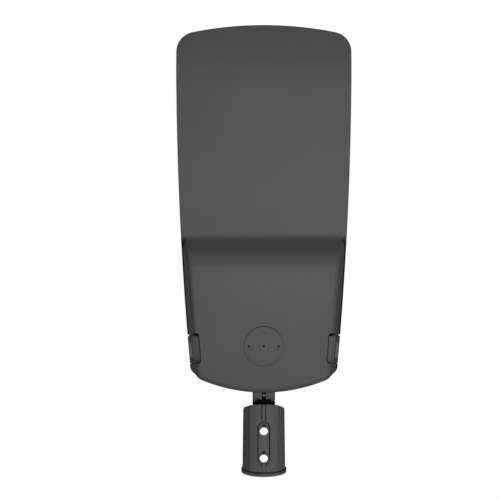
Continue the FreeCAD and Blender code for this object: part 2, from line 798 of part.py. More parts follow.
def make_gear_space():
    """The room for the gear inside hump and skirt, with what stands in it left out."""
    body = new_body("gear_space")
    hump(body, size["shell"], rim - size["shell"] - 1.5)
    roof = rim - size["shell"]
    front = foot + size["bulkhead_ahead"]
    flange_top = housing_foot + size["seal_flange"]
    room = new_sketch(body, "XY", flange_top)
    plan(room, size["shell"], front=front, front_corner=6)
    pad(body, room, roof - flange_top)
    wall = door_front + size["shell"]
    side = half_at(foot) - size["seal_land"] - size["shell"]
    box(body, (-side, side), (wall, front), (hinge_z + size["hinge_knuckle"] / 2 + 3, flange_top + 0.5))
    over = crown + clear
    latch_bays(body, size["notch_depth"] + 5.5, notch_half + 5.5, (base, over), ahead=size["notch_lean"])
    half = size["barrel_width"] / 2
    rod(body, "YZ", (tilt_y, 0), size["barrel_diameter"] / 2 + 0.01, (-half, half), take=True)
    gland = size["gland_face"]
    seat = size["gland_boss"] / 2
    box(body, (-half, half), (tilt_y, tilt_y + gland), (-seat, seat), take=True)
    rod(body, "YZ", (tilt_y, 0), size["tilt_screw"] / 2 + 4.5, (-half * 2.8, half * 2.8), take=True)
    bosses = new_sketch(body, "XY", tray_top)
    add_circles(bosses, tray_points(), 5)
    cut(body, bosses, crown - tray_top)
    return body


def tray_points():
    """Where the gear tray is screwed up under the hump."""
    middle = tail + size["tray_start"] + size["tray_length"] / 2
    reach = size["tray_length"] / 2 - 12
    across = size["tray_width"] / 2 - 12
    return [(x, middle + y) for x in (-across, across) for y in (-reach, reach)]


def frame_points():
    """Where the window frame is screwed on, in the middle of its upright ring."""
    inset = size["frame_screw_inset"]
    points = []
    for step in range(4):
        y = window_rear + 25 + step * 90
        points += [(half_at(y) - inset, y), (inset - half_at(y), y)]
    bow = size["nose_bow"] - inset
    across = size["head_width"] * 0.2
    front = nose - size["nose_bow"] + square_root(bow * bow - across * across)
    rear = window_rear + inset - size["shell"]
    return points + [(across, front), (-across, front), (across, rear), (-across, rear)]


def window_outline(sketch, inset):
    """The LED window's outline moved in by inset from the rim and from the bridge."""
    plan(sketch, inset, rear=window_rear + inset - size["shell"], rear_corner=size["window_corner"] - inset)


def window_ring(body, outer, inner, z, take=False):
    """A ring round the LED window between two insets."""
    sketch = new_sketch(body, "XY", z[0])
    window_outline(sketch, outer)
    window_outline(sketch, inner)
    return (cut if take else pad)(body, sketch, z[1] - z[0])


def make_window_space():
    """The recess for frame and glass."""
    body = new_body("window_space")
    recess = new_sketch(body, "XY", base - clear)
    window_outline(recess, size["shell"])
    pad(body, recess, size["window_recess"] + clear)
    return body


def make_light_space():
    """The LED chamber, lower under the drooping nose."""
    body = new_body("light_space")
    low = new_sketch(body, "XY", recess_top - 0.5)
    window_outline(low, size["chamber_inset"])
    pad(body, low, chamber_top - size["droop_drop"] * 0.6 - recess_top + 0.5)
    high = new_sketch(body, "XY", recess_top)
    inset = size["chamber_inset"]
    plan(high, inset, front=chamber_front, rear=window_rear + inset - size["shell"],
         front_corner=6, rear_corner=size["window_corner"] - inset)
    pad(body, high, chamber_top - recess_top)
    return body


def make_channel_space():
    """The hollow round the LED chamber, with the frame's screw bosses standing in it."""
    body = new_body("channel_space")
    top = rim - size["channel_roof"]
    window_ring(body, size["shell"], size["channel_inner"], (recess_top - 0.5, top))
    cut_nose(body, size["channel_roof"])
    bosses = new_sketch(body, "XY", recess_top - clear)
    add_circles(bosses, frame_points(), size["frame_boss"] / 2)
    cut(body, bosses, top - recess_top + 2)
    lead_y = window_rear
    box(body, (-9, 9), (lead_y, lead_y + 12), (recess_top - clear, top + clear), take=True)
    return body


def make_door_space():
    """What the gear door takes over from the skirt, with the round that its front swings past."""
    body = new_body("door_space")
    wide = half_width + 10
    box(body, (-wide, wide), (tail - 10, door_front), (base - 5, housing_foot))
    low = hinge_z + 0.5
    swing = low - base
    relief = new_sketch(body, "YZ", -wide)
    add_loop(relief, (door_front - clear, base - clear), (door_front + swing, base - clear),
             (door_front + swing, base, -swing), (door_front, low), (door_front - clear, low))
    pad(body, relief, wide * 2)
    reach = size["hinge_knuckle"] / 2 + size["hinge_play"]
    for side in (-1, 1):
        middle = side * size["hinge_offset"]
        half = size["hinge_width"] / 2 + 1
        box(body, (middle - half, middle + half), (door_front - clear, hinge_y + reach),
            (base - 5, hinge_z + reach))
        half = size["hinge_pin_length"] / 2 + 0.1
        rod(body, "YZ", (hinge_y, hinge_z), size["hinge_pin"] / 2 + 0.05, (middle - half, middle + half))
    return body


def make_latch_space(side):
    """A latch's notch and the holes of its pin, in the latch's own frame."""
    body = new_body("latch_space")
    deep = size["notch_depth"]
    corner = 5

    def notch(level, shift):
        sketch = new_sketch(body, "XY", level)
        rear = shift - notch_half
        front = shift + notch_half
        add_loop(sketch, (8, rear), (8, front), (corner - deep, front, corner), (-deep, front - corner),
                 (-deep, rear + corner, corner), (corner - deep, rear))
        return sketch

    pad(body, notch(base - 5, 0), rim - base + 5)
    over = size["hump_height"] + 6
    lean = size["notch_lean"] * side * over / size["hump_height"]
    leaning = body.newObject("PartDesign::AdditiveLoft", "leaning_notch")
    leaning.Profile = notch(rim, 0)
    leaning.Sections = [notch(rim + over, lean)]
    leaning.Ruled = True
    body.Tip = leaning
    rod(body, "XZ", (-size["latch_pivot_in"], rim + size["latch_pivot_up"]), size["latch_pin"] / 2 + 0.05,
        (-notch_half - 4.1, notch_half + 4.1))
    place_at_latch(body, side)
    return body


def make_neck_space():
    """The tilt joint's chamber with its mouth, guide slot and screw holes."""
    body = new_body("neck_space")
    half = size["barrel_width"] / 2 - size["cheek"]
    hollow = size["drum_diameter"] / 2 + size["drum_gap"]
    rod(body, "YZ", (tilt_y, 0), hollow, (-half, half))
    outer = size["barrel_diameter"] / 2
    box(body, (-half, half), (tilt_y - outer - 5, tilt_y - 8), (-mouth_half, mouth_half))
    slot = size["guide_slot_width"] / 2
    box(body, (-slot, slot), (tilt_y - outer - 5, tilt_y), (0, outer + 3))
    shank = size["tilt_screw"] / 2 + size["running_gap"]
    far = size["barrel_width"]
    rod(body, "YZ", (tilt_y, 0), shank, (-far * 1.6, far * 1.6))
    rod(body, "XZ", (0, 0), size["gland_thread"] / 2 + size["running_gap"],
        (tilt_y + 5, tilt_y + size["gland_face"] + clear))
    return body


def make_screw_holes():
    """Blind holes for the screws of the frame, the LED modules and the gear tray."""
    body = new_body("screw_holes")
    holes = new_sketch(body, "XY", recess_top - clear)
    add_circles(holes, frame_points(), size["frame_screw"] / 2 + size["running_gap"])
    pad(body, holes, 14)
    holes = new_sketch(body, "XY", chamber_top - 0.5)
    add_circles(holes, module_points(), size["module_screw"] / 2 + size["running_gap"])
    pad(body, holes, size["module_screw_grip"] + 0.7)
    holes = new_sketch(body, "XY", tray_top - clear)
    add_circles(holes, tray_points(), size["tray_screw"] / 2 + size["running_gap"])
    pad(body, holes, 11)
    rod(body, "XZ", (0, chamber_top - 8), size["grommet"] / 2 + 0.05,
        (foot, window_rear + size["chamber_inset"] + clear))
    return body


def board_start(index):
    """Rear edge of an LED board."""
    chamber_rear = window_rear + size["chamber_inset"] - size["shell"]
    return chamber_rear + size["board_start"] + index * (size["board_depth"] + size["board_gap"])


def module_points():
    """The screws of all LED modules."""
    points = []
    across = size["board_width"] / 2 - 7
    for index in range(4):
        middle = board_start(index) + size["board_depth"] / 2
        points += [(x, middle + y) for x in (-across, across)
                   for y in (-size["module_screw_half"], size["module_screw_half"])]
    return points


def led_points(index):
    """The LEDs of one board, row by row."""
    middle = board_start(index) + size["board_depth"] / 2
    across = [size["led_pitch_across"] * (column - 2.5) for column in range(6)]
    return [(x, middle + y) for y in (-size["led_pitch_along"] / 2, size["led_pitch_along"] / 2)
            for x in across]


def make_upper_housing():
    opening = (housing_foot - clear, housing_foot + size["seal_flange"] + 0.5)
    tools = [make_gear_space(), sealed_space("door_opening", size["seal_land"], opening), make_door_space(),
             make_window_space(), make_light_space(), make_channel_space(), make_latch_space(1),
             make_latch_space(-1), make_neck_space(), make_screw_holes()]
    outside = join("outside", make_slab(), make_outer_hump(), make_barrel())
    return cut_from("upper_housing", outside, tools)


def make_gear_door():
    """The door under the gear: cast pan with seal ledge, latch recesses and hinge arms."""
    pan = new_body("door_pan")
    outline = new_sketch(pan, "XY", base)
    edge = size["door_edge"]
    door_outline(outline, edge, 1.5)
    pad(pan, outline, size["door_depth"])
    base_z = number(base)
    round_edges(pan, pan.Tip, 1.5, lambda item: item.BoundBox.ZMax < base_z + 0.01)
    for side in (-1, 1):
        middle = side * size["hinge_offset"]
        half = size["hinge_width"] / 2
        radius = size["hinge_knuckle"] / 2
        box(pan, (middle - half, middle + half), (door_front - 5, hinge_y), (base, base + radius * 2))
        rod(pan, "YZ", (hinge_y, hinge_z), radius, (middle - half, middle + half))
        rod(pan, "YZ", (hinge_y, hinge_z), size["hinge_pin"] / 2 + size["running_gap"],
            (middle - half - clear, middle + half + clear), take=True)
    panel = new_sketch(pan, "XY", base - clear)
    door_outline(panel, size["door_panel_inset"], 4, 4)
    cut(pan, panel, clear + size["door_panel_depth"])
    ledge = sealed_space("door_ledge", size["seal_outer"] - 0.2, (seal_level, housing_foot + clear), 3)
    floor = base + size["door_plate"]
    inside = sealed_space("door_inside", size["seal_land"], (floor, housing_foot + clear), 4)
    tools = [ledge, inside]
    for side in (1, -1):
        notch = new_body("door_notch")
        face = size["latch_lip"]
        box(notch, (-face, 8), (-notch_half, notch_half), (base - 5, housing_foot + 5))
        reach = size["latch_tooth"]
        tooth_top = base + size["latch_foot"] + size["latch_tooth_height"]
        half = size["latch_length"] / 2 + clear
        box(notch, (-face - reach, -face + clear), (-half, half),
            (base + size["latch_foot"] - size["latch_play"], tooth_top + size["latch_play"]))
        place_at_latch(notch, side)
        tools.append(notch)
    return cut_from("gear_door", pan, tools)


def make_door_gasket():
    outer = sealed_space("gasket_outer", size["seal_outer"], (seal_level, housing_foot), 3)
    inner = sealed_space("gasket_inner", size["seal_inner"], (seal_level - clear, housing_foot + clear), 2)
    return cut_from("door_gasket", outer, [inner])


def make_latch(side, label):
    """A latch: outer plate with a tooth below, lever over its pin and a raised finger pad."""
    body = new_body(label)
    half = size["latch_length"] / 2
    low = base + size["latch_foot"]
    tooth_top = low + size["latch_tooth_height"]
    outer = -size["latch_face"]
    inner = outer - size["latch_plate"]
    tip = inner - size["latch_tooth"]
    pin_x = -size["latch_pivot_in"]
    pin_z = rim + size["latch_pivot_up"]
    top = pin_z + 3.5
    back = size["latch_back_gap"] - size["notch_depth"]
    section = new_sketch(body, "XZ", half)
    add_loop(section, (tip, low), (outer - 1, low), (outer, low + 1), (outer, pin_z), (outer - 1.3, top),
             (back + 1, top), (back, top - 1), (back, pin_z - 4), (back + 3, pin_z - 7),
             (inner - 2, pin_z - 7), (inner, pin_z - 9), (inner, tooth_top), (tip, tooth_top))
    pad(body, section, size["latch_length"])
    pad_half = size["pad_length"] / 2
    grip_top = top + size["pad_height"]
    grip = box(body, (outer - 6.8, outer - 1.3), (-pad_half, pad_half), (top - clear, grip_top))
    grip_z = number(grip_top)
    round_edges(body, grip, 1, lambda item: item.BoundBox.ZMin > grip_z - 0.01)
    reach = size["latch_pivot_up"] + size["latch_hub"] / 2
    hub = notch_half - 0.3 - size["notch_lean"] * reach / size["hump_height"]
    bore = size["latch_pin"] / 2 + size["running_gap"]
    rod(body, "XZ", (pin_x, pin_z), size["latch_hub"] / 2, (-hub, hub))
    rod(body, "XZ", (pin_x, pin_z), bore, (-hub - 1, hub + 1), take=True)
    place_at_latch(body, side)
    return body


def make_latch_pin(side, label):
    body = new_body(label)
    rod(body, "XZ", (-size["latch_pivot_in"], rim + size["latch_pivot_up"]), size["latch_pin"] / 2,
        (-notch_half - 4, notch_half + 4))
    place_at_latch(body, side)
    return body


def clamp_points():
    near = size["clamp_hole_near"]
    return ((0, near), (0, near + size["clamp_hole_pitch"]))


def spigot_end(level, back=0):
    """Place along Y of the spigot's slanted end at a level, or of a plane behind it."""
    return size["spigot_length"] - back + tangent(size["spigot_slant"]) * level


def cut_spigot_end(body, back=0):
    """Takes away what stands ahead of the slanted end."""
    reach = size["collar_diameter"]
    sketch = new_sketch(body, "YZ", -reach)
    far = size["spigot_length"] + reach
    add_loop(sketch, (spigot_end(-reach, back), -reach), (far, -reach), (far, reach),
             (spigot_end(reach, back), reach))
    return cut(body, sketch, reach * 2)


def make_spigot_outside():
    """The tapered socket for the pole, its top flattened between two creases and its end slanted."""
    body = new_body("spigot_outside")
    collar = size["collar_diameter"] / 2
    width = size["collar_width"]
    longest = size["spigot_length"] + 20
    half_section = new_sketch(body, "YZ")
    far_half = size["spigot_end_diameter"] / 2
    near_half = size["spigot_mouth_diameter"] / 2
    add_loop(half_section, (0, 0), (0, -collar), (width, -collar), (width, -near_half), (longest, -far_half),
             (longest, 0))
    revolve(body, half_section, "H_Axis")
    land = size["land_half"]
    bow = size["land_bow"]
    land_z = size["land_level"] - bow + square_root(bow * bow - land * land)
    flank_z = size["flank_foot"]
    flank = land + (land_z - flank_z) * tangent(size["flank_lean"])
    section = new_sketch(body, "XZ", longest)
    add_loop(section, (flank, flank_z), (land, land_z, bow), (-land, land_z), (-flank, flank_z))
    pad(body, section, longest - clear)
    slanted = cut_spigot_end(body)
    middle = number(size["spigot_length"])
    slope = number(tangent(size["spigot_slant"]))

    def on_end(edge):
        return all(abs(point.Point.y - middle - slope * point.Point.z) < 0.01 for point in edge.Vertexes)

    round_edges(body, slanted, size["spigot_end_round"], on_end)
    return body


def make_pole_adaptor():
    """The spigot: socket for the pole with crest rib and clamp holes, web and drum of the tilt joint."""
    crest = new_body("crest")
    rib = size["rib_width"] / 2
    low = size["spigot_bore"] / 2 - 3
    rib_top = size["rib_level"]
    ridge = new_sketch(crest, "YZ", -rib)
    add_loop(ridge, (clear, low), (spigot_end(low, clear), low), (spigot_end(rib_top, 3), rib_top),
             (clear, rib_top))
    pad(crest, ridge, size["rib_width"])
    panel = size["panel_width"] / 2
    holes = [y for x, y in clamp_points()]
    panel_rear, panel_front = holes[0] - 1.4, holes[1] + 5.6
    level = size["panel_level"]
    body = new_body("panel")
    box(body, (-panel, panel), (panel_rear, panel_front), (level, level + 8))
    for y in (panel_rear, panel_front):
        rod(body, "XY", (0, y), panel, (level, level + 8))
    sunk = cut_from("sunk_top", join("ribbed", make_spigot_outside(), crest), [body])
    bosses = new_body("bosses")
    back_rib = new_sketch(bosses, "XY", low)
    add_rectangle(back_rib, -rib, rib, clear, holes[0] - 7)
    pad(bosses, back_rib, rib_top - low)
    rounds = new_sketch(bosses, "XY", low)
    add_circles(rounds, clamp_points(), size["clamp_hole"] / 2 + size["clamp_boss"])
    pad(bosses, rounds, size["boss_level"] - low)
    joint = new_body("joint")
    length = size["spigot_length"]
    half = size["barrel_width"] / 2
    shoulder_z = (-size["shoulder_foot"], size["shoulder_top"])
    shoulder = box(joint, (-half, half), (length - 12, tilt_y - 10), shoulder_z)
    long_edge = number(tilt_y - length)
    round_edges(joint, shoulder, 3, lambda item: item.BoundBox.YLength > long_edge - 1)
    turning = size["barrel_diameter"] / 2 + size["shoulder_gap"]
    rod(joint, "YZ", (tilt_y, 0), turning, (-half - 1, half + 1), take=True)
    web = half - size["cheek"] - 0.2
    tongue = size["tongue_height"] / 2
    box(joint, (-web, web), (length - 8, tilt_y), (-tongue, tongue))
    rod(joint, "YZ", (tilt_y, 0), size["drum_diameter"] / 2, (-web, web))
    hollow = new_body("hollow")
    rod(hollow, "XZ", (0, 0), size["spigot_bore"] / 2 - size["spigot_ledge"], (1, length + 20))
    cut_spigot_end(hollow, size["spigot_end_wall"])
    bore = new_body("bore")
    rod(bore, "XZ", (0, 0), size["spigot_bore"] / 2, (-1, size["spigot_bore_length"]))
    passages = new_body("passages")
    through = new_sketch(passages, "XY", 0)
    add_circles(through, clamp_points(), size["clamp_hole"] / 2)
    pad(passages, through, size["collar_diameter"])
    slit = size["slit_width"] / 2
    box(passages, (-slit, slit), (-1, size["slit_length"]), (-size["collar_diameter"], 0.5))
    rod(passages, "XZ", (0, 0), size["wire_passage"] / 2, (length - 25, tilt_y + 30))
    drilled = new_body("pivot_holes")
    near = size["wire_passage"] / 2 + 1
    for limits in ((-web - 1, -near), (near, web + 1)):
        rod(drilled, "YZ", (tilt_y, 0), size["tilt_screw"] / 2 + size["running_gap"], limits)
    hole = guide_rod("guide_hole", size["guide_screw"] / 2 + 0.05, 8, 30)
    return cut_from("pole_adaptor", join("cast", sunk, bosses, joint), [bore, hollow, passages, drilled, hole])


def guide_rod(label, radius, start, end):
    """A cylinder standing out of the drum at the guide screw's angle."""
    item = doc.addObject("Part::Cylinder", label)
    bind(item, "Radius", radius)
    bind(item, "Height", end - start)
    tilt = size["guide_angle"]
    item.Placement.Rotation = FreeCAD.Rotation(FreeCAD.Vector(1, 0, 0), 90 - number(tilt))
    bind(item, "Placement.Rotation.Angle", 90 - tilt)
    bind(item, "Placement.Base.y", tilt_y - start * cosine(tilt))
    bind(item, "Placement.Base.z", start * sine(tilt))
    return item


def make_guide_screw():
    shank = guide_rod("guide_shank", size["guide_screw"] / 2, size["drum_diameter"] / 2 - 8,
                      size["barrel_diameter"] / 2 + 0.5)
    outer = size["barrel_diameter"] / 2
    socket = guide_rod("guide_socket", 1.7, outer - 2.5, outer + 1)
    return cut_from("guide_screw", shank, [socket])


def make_tilt_screws():
    """Two headless pivot screws, each in a cheek with its point in the drum."""
    body = new_body("tilt_screws")
    start = size["wire_passage"] / 2 + 1.3
    end = size["barrel_width"] / 2 + 3
    for side in (-1, 1):
        limits = (-end, -start) if side < 0 else (start, end)
        rod(body, "YZ", (tilt_y, 0), size["tilt_screw"] / 2, limits)
        limits = (-end - clear, -end + 3) if side < 0 else (end - 3, end + clear)
        rod(body, "YZ", (tilt_y, 0), 2.1, limits, take=True)
    return body


def make_hinge_pins():
    body = new_body("hinge_pins")
    for side in (-1, 1):
        middle = side * size["hinge_offset"]
        half = size["hinge_pin_length"] / 2
        rod(body, "YZ", (hinge_y, hinge_z), size["hinge_pin"] / 2, (middle - half, middle + half))
    return body


def make_glass_frame():
    body = new_body("glass_frame")
    edge = size["shell"] + size["frame_gap"]
    window_ring(body, edge, size["frame_inner"], (frame_foot, glass_foot))
    window_ring(body, edge, edge + size["frame_upright"], (glass_foot - 0.5, recess_top - 0.2))
    bores = new_sketch(body, "XY", frame_foot - clear)
    add_circles(bores, frame_points(), size["frame_screw_head"] / 2 + 0.5)
    cut(body, bores, size["frame_lip"] + clear)
    through = new_sketch(body, "XY", glass_foot - clear)
    add_circles(through, frame_points(), size["frame_screw"] / 2 + 0.2)
    cut(body, through, 12)
    return body


def make_window_glass():
    body = new_body("window_glass")
    pane = new_sketch(body, "XY", glass_foot)
    window_outline(pane, size["glass_inset"])
    pad(body, pane, size["glass_thickness"])
    return body


def make_glass_gasket():
    body = new_body("glass_gasket")
    start = size["channel_inner"] + 0.1
    window_ring(body, start, start + size["gasket_width"] - 0.2, (glass_top, recess_top))
    return body


def make_screws(label, points, seat, shank, grip, head, head_height, socket, socket_depth):
    """Screws pointing up, their heads hanging below the seat."""
    body = new_body(label)
    shanks = new_sketch(body, "XY", seat - 0.5)
    heads = new_sketch(body, "XY", seat - head_height)
    sockets = new_sketch(body, "XY", seat - head_height - clear)
    add_circles(heads, points, head)
    pad(body, heads, head_height)
    add_circles(shanks, points, shank)
    pad(body, shanks, grip + 0.5)
    add_circles(sockets, points, socket)
    cut(body, sockets, socket_depth + clear)
    return body


def make_led_board(index):
    label = "led_board_%d" % (index + 1)
    body = new_body(label)
    half = size["board_width"] / 2
    start = board_start(index)
    box(body, (-half, half), (start, start + size["board_depth"]), (board_foot, chamber_top))
    holes = new_sketch(body, "XY", board_foot - clear)
    add_circles(holes, module_points()[4 * index:4 * index + 4], size["module_screw"] / 2 + 0.2)
    cut(body, holes, size["board_thickness"] + 2)
    return body


def make_leds():
    """Two LEDs of the first board's corner column, repeated across the board and board by board."""
    body = new_body("leds")
    half = size["led_side"] / 2
    first = new_sketch(body, "XY", board_foot - size["led_height"])
    for x, y in (led_points(0)[0], led_points(0)[6]):
        add_rectangle(first, x - half, x + half, y - half, y + half)
    column = pad(body, first, size["led_height"])
    repeat = body.newObject("PartDesign::LinearPattern", "rows_of_leds")
    repeat.Originals = [column]
    repeat.Direction = (first, ["H_Axis"])
    repeat.Direction2 = (first, ["V_Axis"])
    bind(repeat, "Length", size["led_pitch_across"] * 5)
    bind(repeat, "Length2", (size["board_depth"] + size["board_gap"]) * 3)
    body.Tip = repeat
    repeat.Occurrences = 6
    repeat.Occurrences2 = 4
    return body


def make_lens_plate(index):
    body = new_body("lens_plate_%d" % (index + 1))
    margin = size["lens_plate_margin"]
    half = size["board_width"] / 2 - margin
    start = board_start(index) + margin
    box(body, (-half, half), (start, start + size["board_depth"] - 2 * margin), (lens_foot, lens_top))
    feet = new_sketch(body, "XY", lens_top - 0.5)
    points = module_points()[4 * index:4 * index + 4]
    add_circles(feet, points, 4)
    pad(body, feet, size["lens_plate_gap"] + 0.5)
    domes = new_sketch(body, "XY", lens_foot - size["lens_rise"])
    add_circles(domes, led_points(index), size["lens_top"] / 2)
    lean = Size(
        math.degrees(math.atan(number(size["lens_foot"] - size["lens_top"]) / 2 / number(size["lens_rise"]))),
        "atan((sizes.lens_foot - sizes.lens_top) / 2 / sizes.lens_rise)")
    pad(body, domes, size["lens_rise"] + 0.01, lean)
    holes = new_sketch(body, "XY", lens_foot - clear)
    add_circles(holes, points, size["module_screw"] / 2 + 0.2)
    cut(body, holes, 8)
    return body


def make_gear_tray():
    """Folded steel tray screwed up under the hump, its long edges turned down."""
    body = new_body("gear_tray")
    half = size["tray_width"] / 2
    start = tail + size["tray_start"]
    end = start + size["tray_length"]
    box(body, (-half, half), (start, end), (tray_foot, tray_top))
    fold = size["tray_flange"]
    for left, right in ((-half, size["tray_thickness"] - half), (half - size["tray_thickness"], half)):
        box(body, (left, right), (start, end), (tray_foot - fold, tray_foot + 0.5))
    holes = new_sketch(body, "XY", tray_foot - clear)
    add_circles(holes, tray_points() + driver_points(), size["tray_screw"] / 2 + 0.1)
    cut(body, holes, size["tray_thickness"] + 3)
    tapped = new_sketch(body, "XY", tray_foot - clear)
    add_circles(tapped, earth_point(), size["earth_screw"] / 2 + 0.05)
    cut(body, tapped, size["tray_thickness"] + 3)
    return body


def earth_point():
    """The earth screw beside the terminal block."""
    return [(size["tray_width"] / 2 - 18, tail + size["tray_start"] + 60)]


def make_led_driver():
    """The LED driver with a screw ear at each end."""
    body = new_body("led_driver")
    x0 = size["driver_place"]
    half = size["driver_width"] / 2
    start = tail + size["tray_start"] + 18
    end = start + size["driver_length"]
    low = tray_foot - size["driver_height"]
    form = box(body, (x0 - half, x0 + half), (start, end), (low, tray_foot))
    upright = number(size["driver_height"]) - 1
    round_edges(body, form, 3, lambda item: item.BoundBox.ZLength > upright)
    box(body, (x0 - 12, x0 + 12), (start - 10, end + 10), (tray_foot - 1.5, tray_foot))
    holes = new_sketch(body, "XY", tray_foot - 4)
    for y in (start - 5, end + 5):
        add_circle(holes, x0, y, 2.2)
    cut(body, holes, 8)
    return body


def driver_points():
    x0 = size["driver_place"]
    start = tail + size["tray_start"] + 18
    return [(x0, start - 5), (x0, start + size["driver_length"] + 5)]


def make_surge_protector():
    body = new_body("surge_protector")
    x0 = size["driver_place"] + size["driver_width"] / 2 + 32
    y0 = tail + size["tray_start"] + size["tray_length"] / 2 + 20
    form = box(body, (x0 - 18, x0 + 18), (y0 - 30, y0 + 30), (tray_foot - 26, tray_foot))
    round_edges(body, form, 2.5, lambda item: item.BoundBox.ZLength > 25)
    return body


def make_terminal_block():
    """Three-way terminal block with its entries facing the tail."""
    body = new_body("terminal_block")
    x0 = size["driver_place"] + size["driver_width"] / 2 + 32
    y0 = tail + size["tray_start"] + 34
    box(body, (x0 - 20, x0 + 20), (y0 - 12, y0 + 12), (tray_foot - 18, tray_foot))
    entries = new_sketch(body, "XZ", y0 - 13)
    sockets = new_sketch(body, "XY", tray_foot - 19)
    for step in (-1, 0, 1):
        add_circle(entries, x0 + step * 12, tray_foot - 9, 3)
        add_circle(sockets, x0 + step * 12, y0, 2.2)
    opening = cut(body, entries, 8)
    opening.Reversed = False
    cut(body, sockets, 6)
    return body


def make_gland_seal():
    """Ring between the gland's collar and the barrel's inner wall."""
    body = new_body("gland_seal")
    face = tilt_y + size["gland_face"]
    rod(body, "XZ", (0, 0), size["gland_thread"] / 2 + 2.7, (face, face + size["gland_seal"]))
    rod(body, "XZ", (0, 0), size["gland_thread"] / 2 + size["running_gap"], (face - 1, face + 3), take=True)
    return body


def make_gland_body():
    """Cable gland: thread in the barrel's inner wall and a collar inside the hump."""
    body = new_body("gland_body")
    face = tilt_y + size["gland_face"] + size["gland_seal"]
    rod(body, "XZ", (0, 0), size["gland_thread"] / 2, (face - 7, face + clear))
    rod(body, "XZ", (0, 0), size["gland_thread"] / 2 + 3, (face, face + 5))
    rod(body, "XZ", (0, 0), size["gland_cable"] / 2, (face - 8, face + 6), take=True)
    return body


def make_gland_nut():
    body = new_body("gland_nut")
    face = tilt_y + size["gland_face"] + size["gland_seal"] + 5
    form = rod(body, "XZ", (0, 0), size["gland_thread"] / 2 + 2.5, (face, face + 11))
    far = number(face) + 10.5
    round_edges(body, form, 3, lambda item: item.BoundBox.YMin > far)
    rod(body, "XZ", (0, 0), size["gland_cable"] / 2, (face - 1, face + 12), take=True)
    return body


def make_lead_grommet():
    body = new_body("lead_grommet")
    front = window_rear + size["chamber_inset"] - size["shell"]
    rear = foot + size["bulkhead_ahead"]
    z = chamber_top - 8
    rod(body, "XZ", (0, z), size["grommet"] / 2, (rear, front))
    rod(body, "XZ", (0, z), size["grommet"] / 2 + 1.5, (rear - 1.5, rear))
    rod(body, "XZ", (0, z), size["grommet"] / 2 - 2.5, (rear - 3, front + 1), take=True)
    return body


nodes = [
    make_upper_housing(),
    make_pole_adaptor(),
    make_guide_screw(),
    make_tilt_screws(),
    make_latch(1, "latch_right"),
    make_latch(-1, "latch_left"),
    make_latch_pin(1, "latch_pin_right"),
    make_latch_pin(-1, "latch_pin_left"),
    make_gear_door(),
    make_door_gasket(),
    make_hinge_pins(),
    make_glass_frame(),
    make_window_glass(),
    make_glass_gasket(),
    make_screws("frame_screws", frame_points(), glass_foot, size["frame_screw"] / 2, 16,
                size["frame_screw_head"] / 2, 2.6, 1.5, 1.6),
    make_leds(),
    make_screws("module_screws", module_points(), lens_foot, size["module_screw"] / 2,
                chamber_top - lens_foot + size["module_screw_grip"], 2.75, 1.8, 1.1, 1.0),
    make_gear_tray(),
    make_screws("tray_screws", tray_points(), tray_foot, size["tray_screw"] / 2, 10, 3.8, 2.4, 1.5, 1.4),
    make_screws("earth_screw", earth_point(), tray_foot, size["earth_screw"] / 2, 5, 3.8, 2.4, 1.5, 1.4),
    make_led_driver(),
    make_screws("driver_screws", driver_points(), tray_foot - 1.5, 2, 4.5, 3.8, 2.4, 1.5, 1.4),
    make_surge_protector(),
    make_terminal_block(),
    make_gland_seal(),
    make_gland_body(),
    make_gland_nut(),
    make_lead_grommet(),
]
nodes += [make_led_board(index) for index in range(4)]
nodes += [make_lens_plate(index) for index in range(4)]

doc.recompute()
for item in doc.Objects:
    if "Invalid" in item.State or "Error" in item.State:
        raise RuntimeError("%s did not compute" % item.Label)
os.makedirs("parts", exist_ok=True)
for node in nodes:
    shape = node.Shape
    if shape.isNull() or not shape.isValid():
        raise RuntimeError("%s has no valid shape" % node.Label)
    shape.exportStep("parts/%s.step" % node.Label)
    print(node.Label, len(shape.Solids), round(shape.Volume))
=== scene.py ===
"""Looks of the LED street light head: finishes, light and the photograph's view from above."""

import math

import bpy
import numpy as np
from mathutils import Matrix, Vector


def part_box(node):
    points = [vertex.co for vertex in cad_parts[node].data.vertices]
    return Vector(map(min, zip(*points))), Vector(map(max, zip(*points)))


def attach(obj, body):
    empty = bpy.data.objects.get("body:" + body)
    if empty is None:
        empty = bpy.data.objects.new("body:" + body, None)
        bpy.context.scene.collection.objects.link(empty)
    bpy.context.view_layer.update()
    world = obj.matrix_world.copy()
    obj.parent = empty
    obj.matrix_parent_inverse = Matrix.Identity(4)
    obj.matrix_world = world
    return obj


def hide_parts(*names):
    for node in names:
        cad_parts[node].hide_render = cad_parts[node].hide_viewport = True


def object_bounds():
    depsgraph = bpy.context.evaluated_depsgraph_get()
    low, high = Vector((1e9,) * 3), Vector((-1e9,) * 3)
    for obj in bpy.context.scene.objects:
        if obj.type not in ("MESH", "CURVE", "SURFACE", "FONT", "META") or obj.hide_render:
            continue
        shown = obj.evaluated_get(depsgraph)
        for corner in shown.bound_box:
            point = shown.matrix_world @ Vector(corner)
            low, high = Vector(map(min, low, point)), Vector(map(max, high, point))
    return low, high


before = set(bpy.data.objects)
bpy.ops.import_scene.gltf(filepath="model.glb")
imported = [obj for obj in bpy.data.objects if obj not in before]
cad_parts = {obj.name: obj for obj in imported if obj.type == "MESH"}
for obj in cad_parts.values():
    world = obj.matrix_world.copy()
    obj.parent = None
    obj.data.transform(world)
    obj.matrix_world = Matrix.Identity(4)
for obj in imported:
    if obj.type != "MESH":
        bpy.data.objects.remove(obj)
cad_box = [list(corner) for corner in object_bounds()]


# Studio: a pale table well below the head, clear of the open door and the lowered nose, a wide
# soft lamp overhead, a weak one at the right, one under the table, and a black card at the
# left that the camera doesn't see. The table is white from above and clear from below.

def add_node(tree, kind, **settings):
    """A new node in a tree, with the given settings."""
    item = tree.nodes.new(kind)
    for name, value in settings.items():
        setattr(item, name, value)
    return item


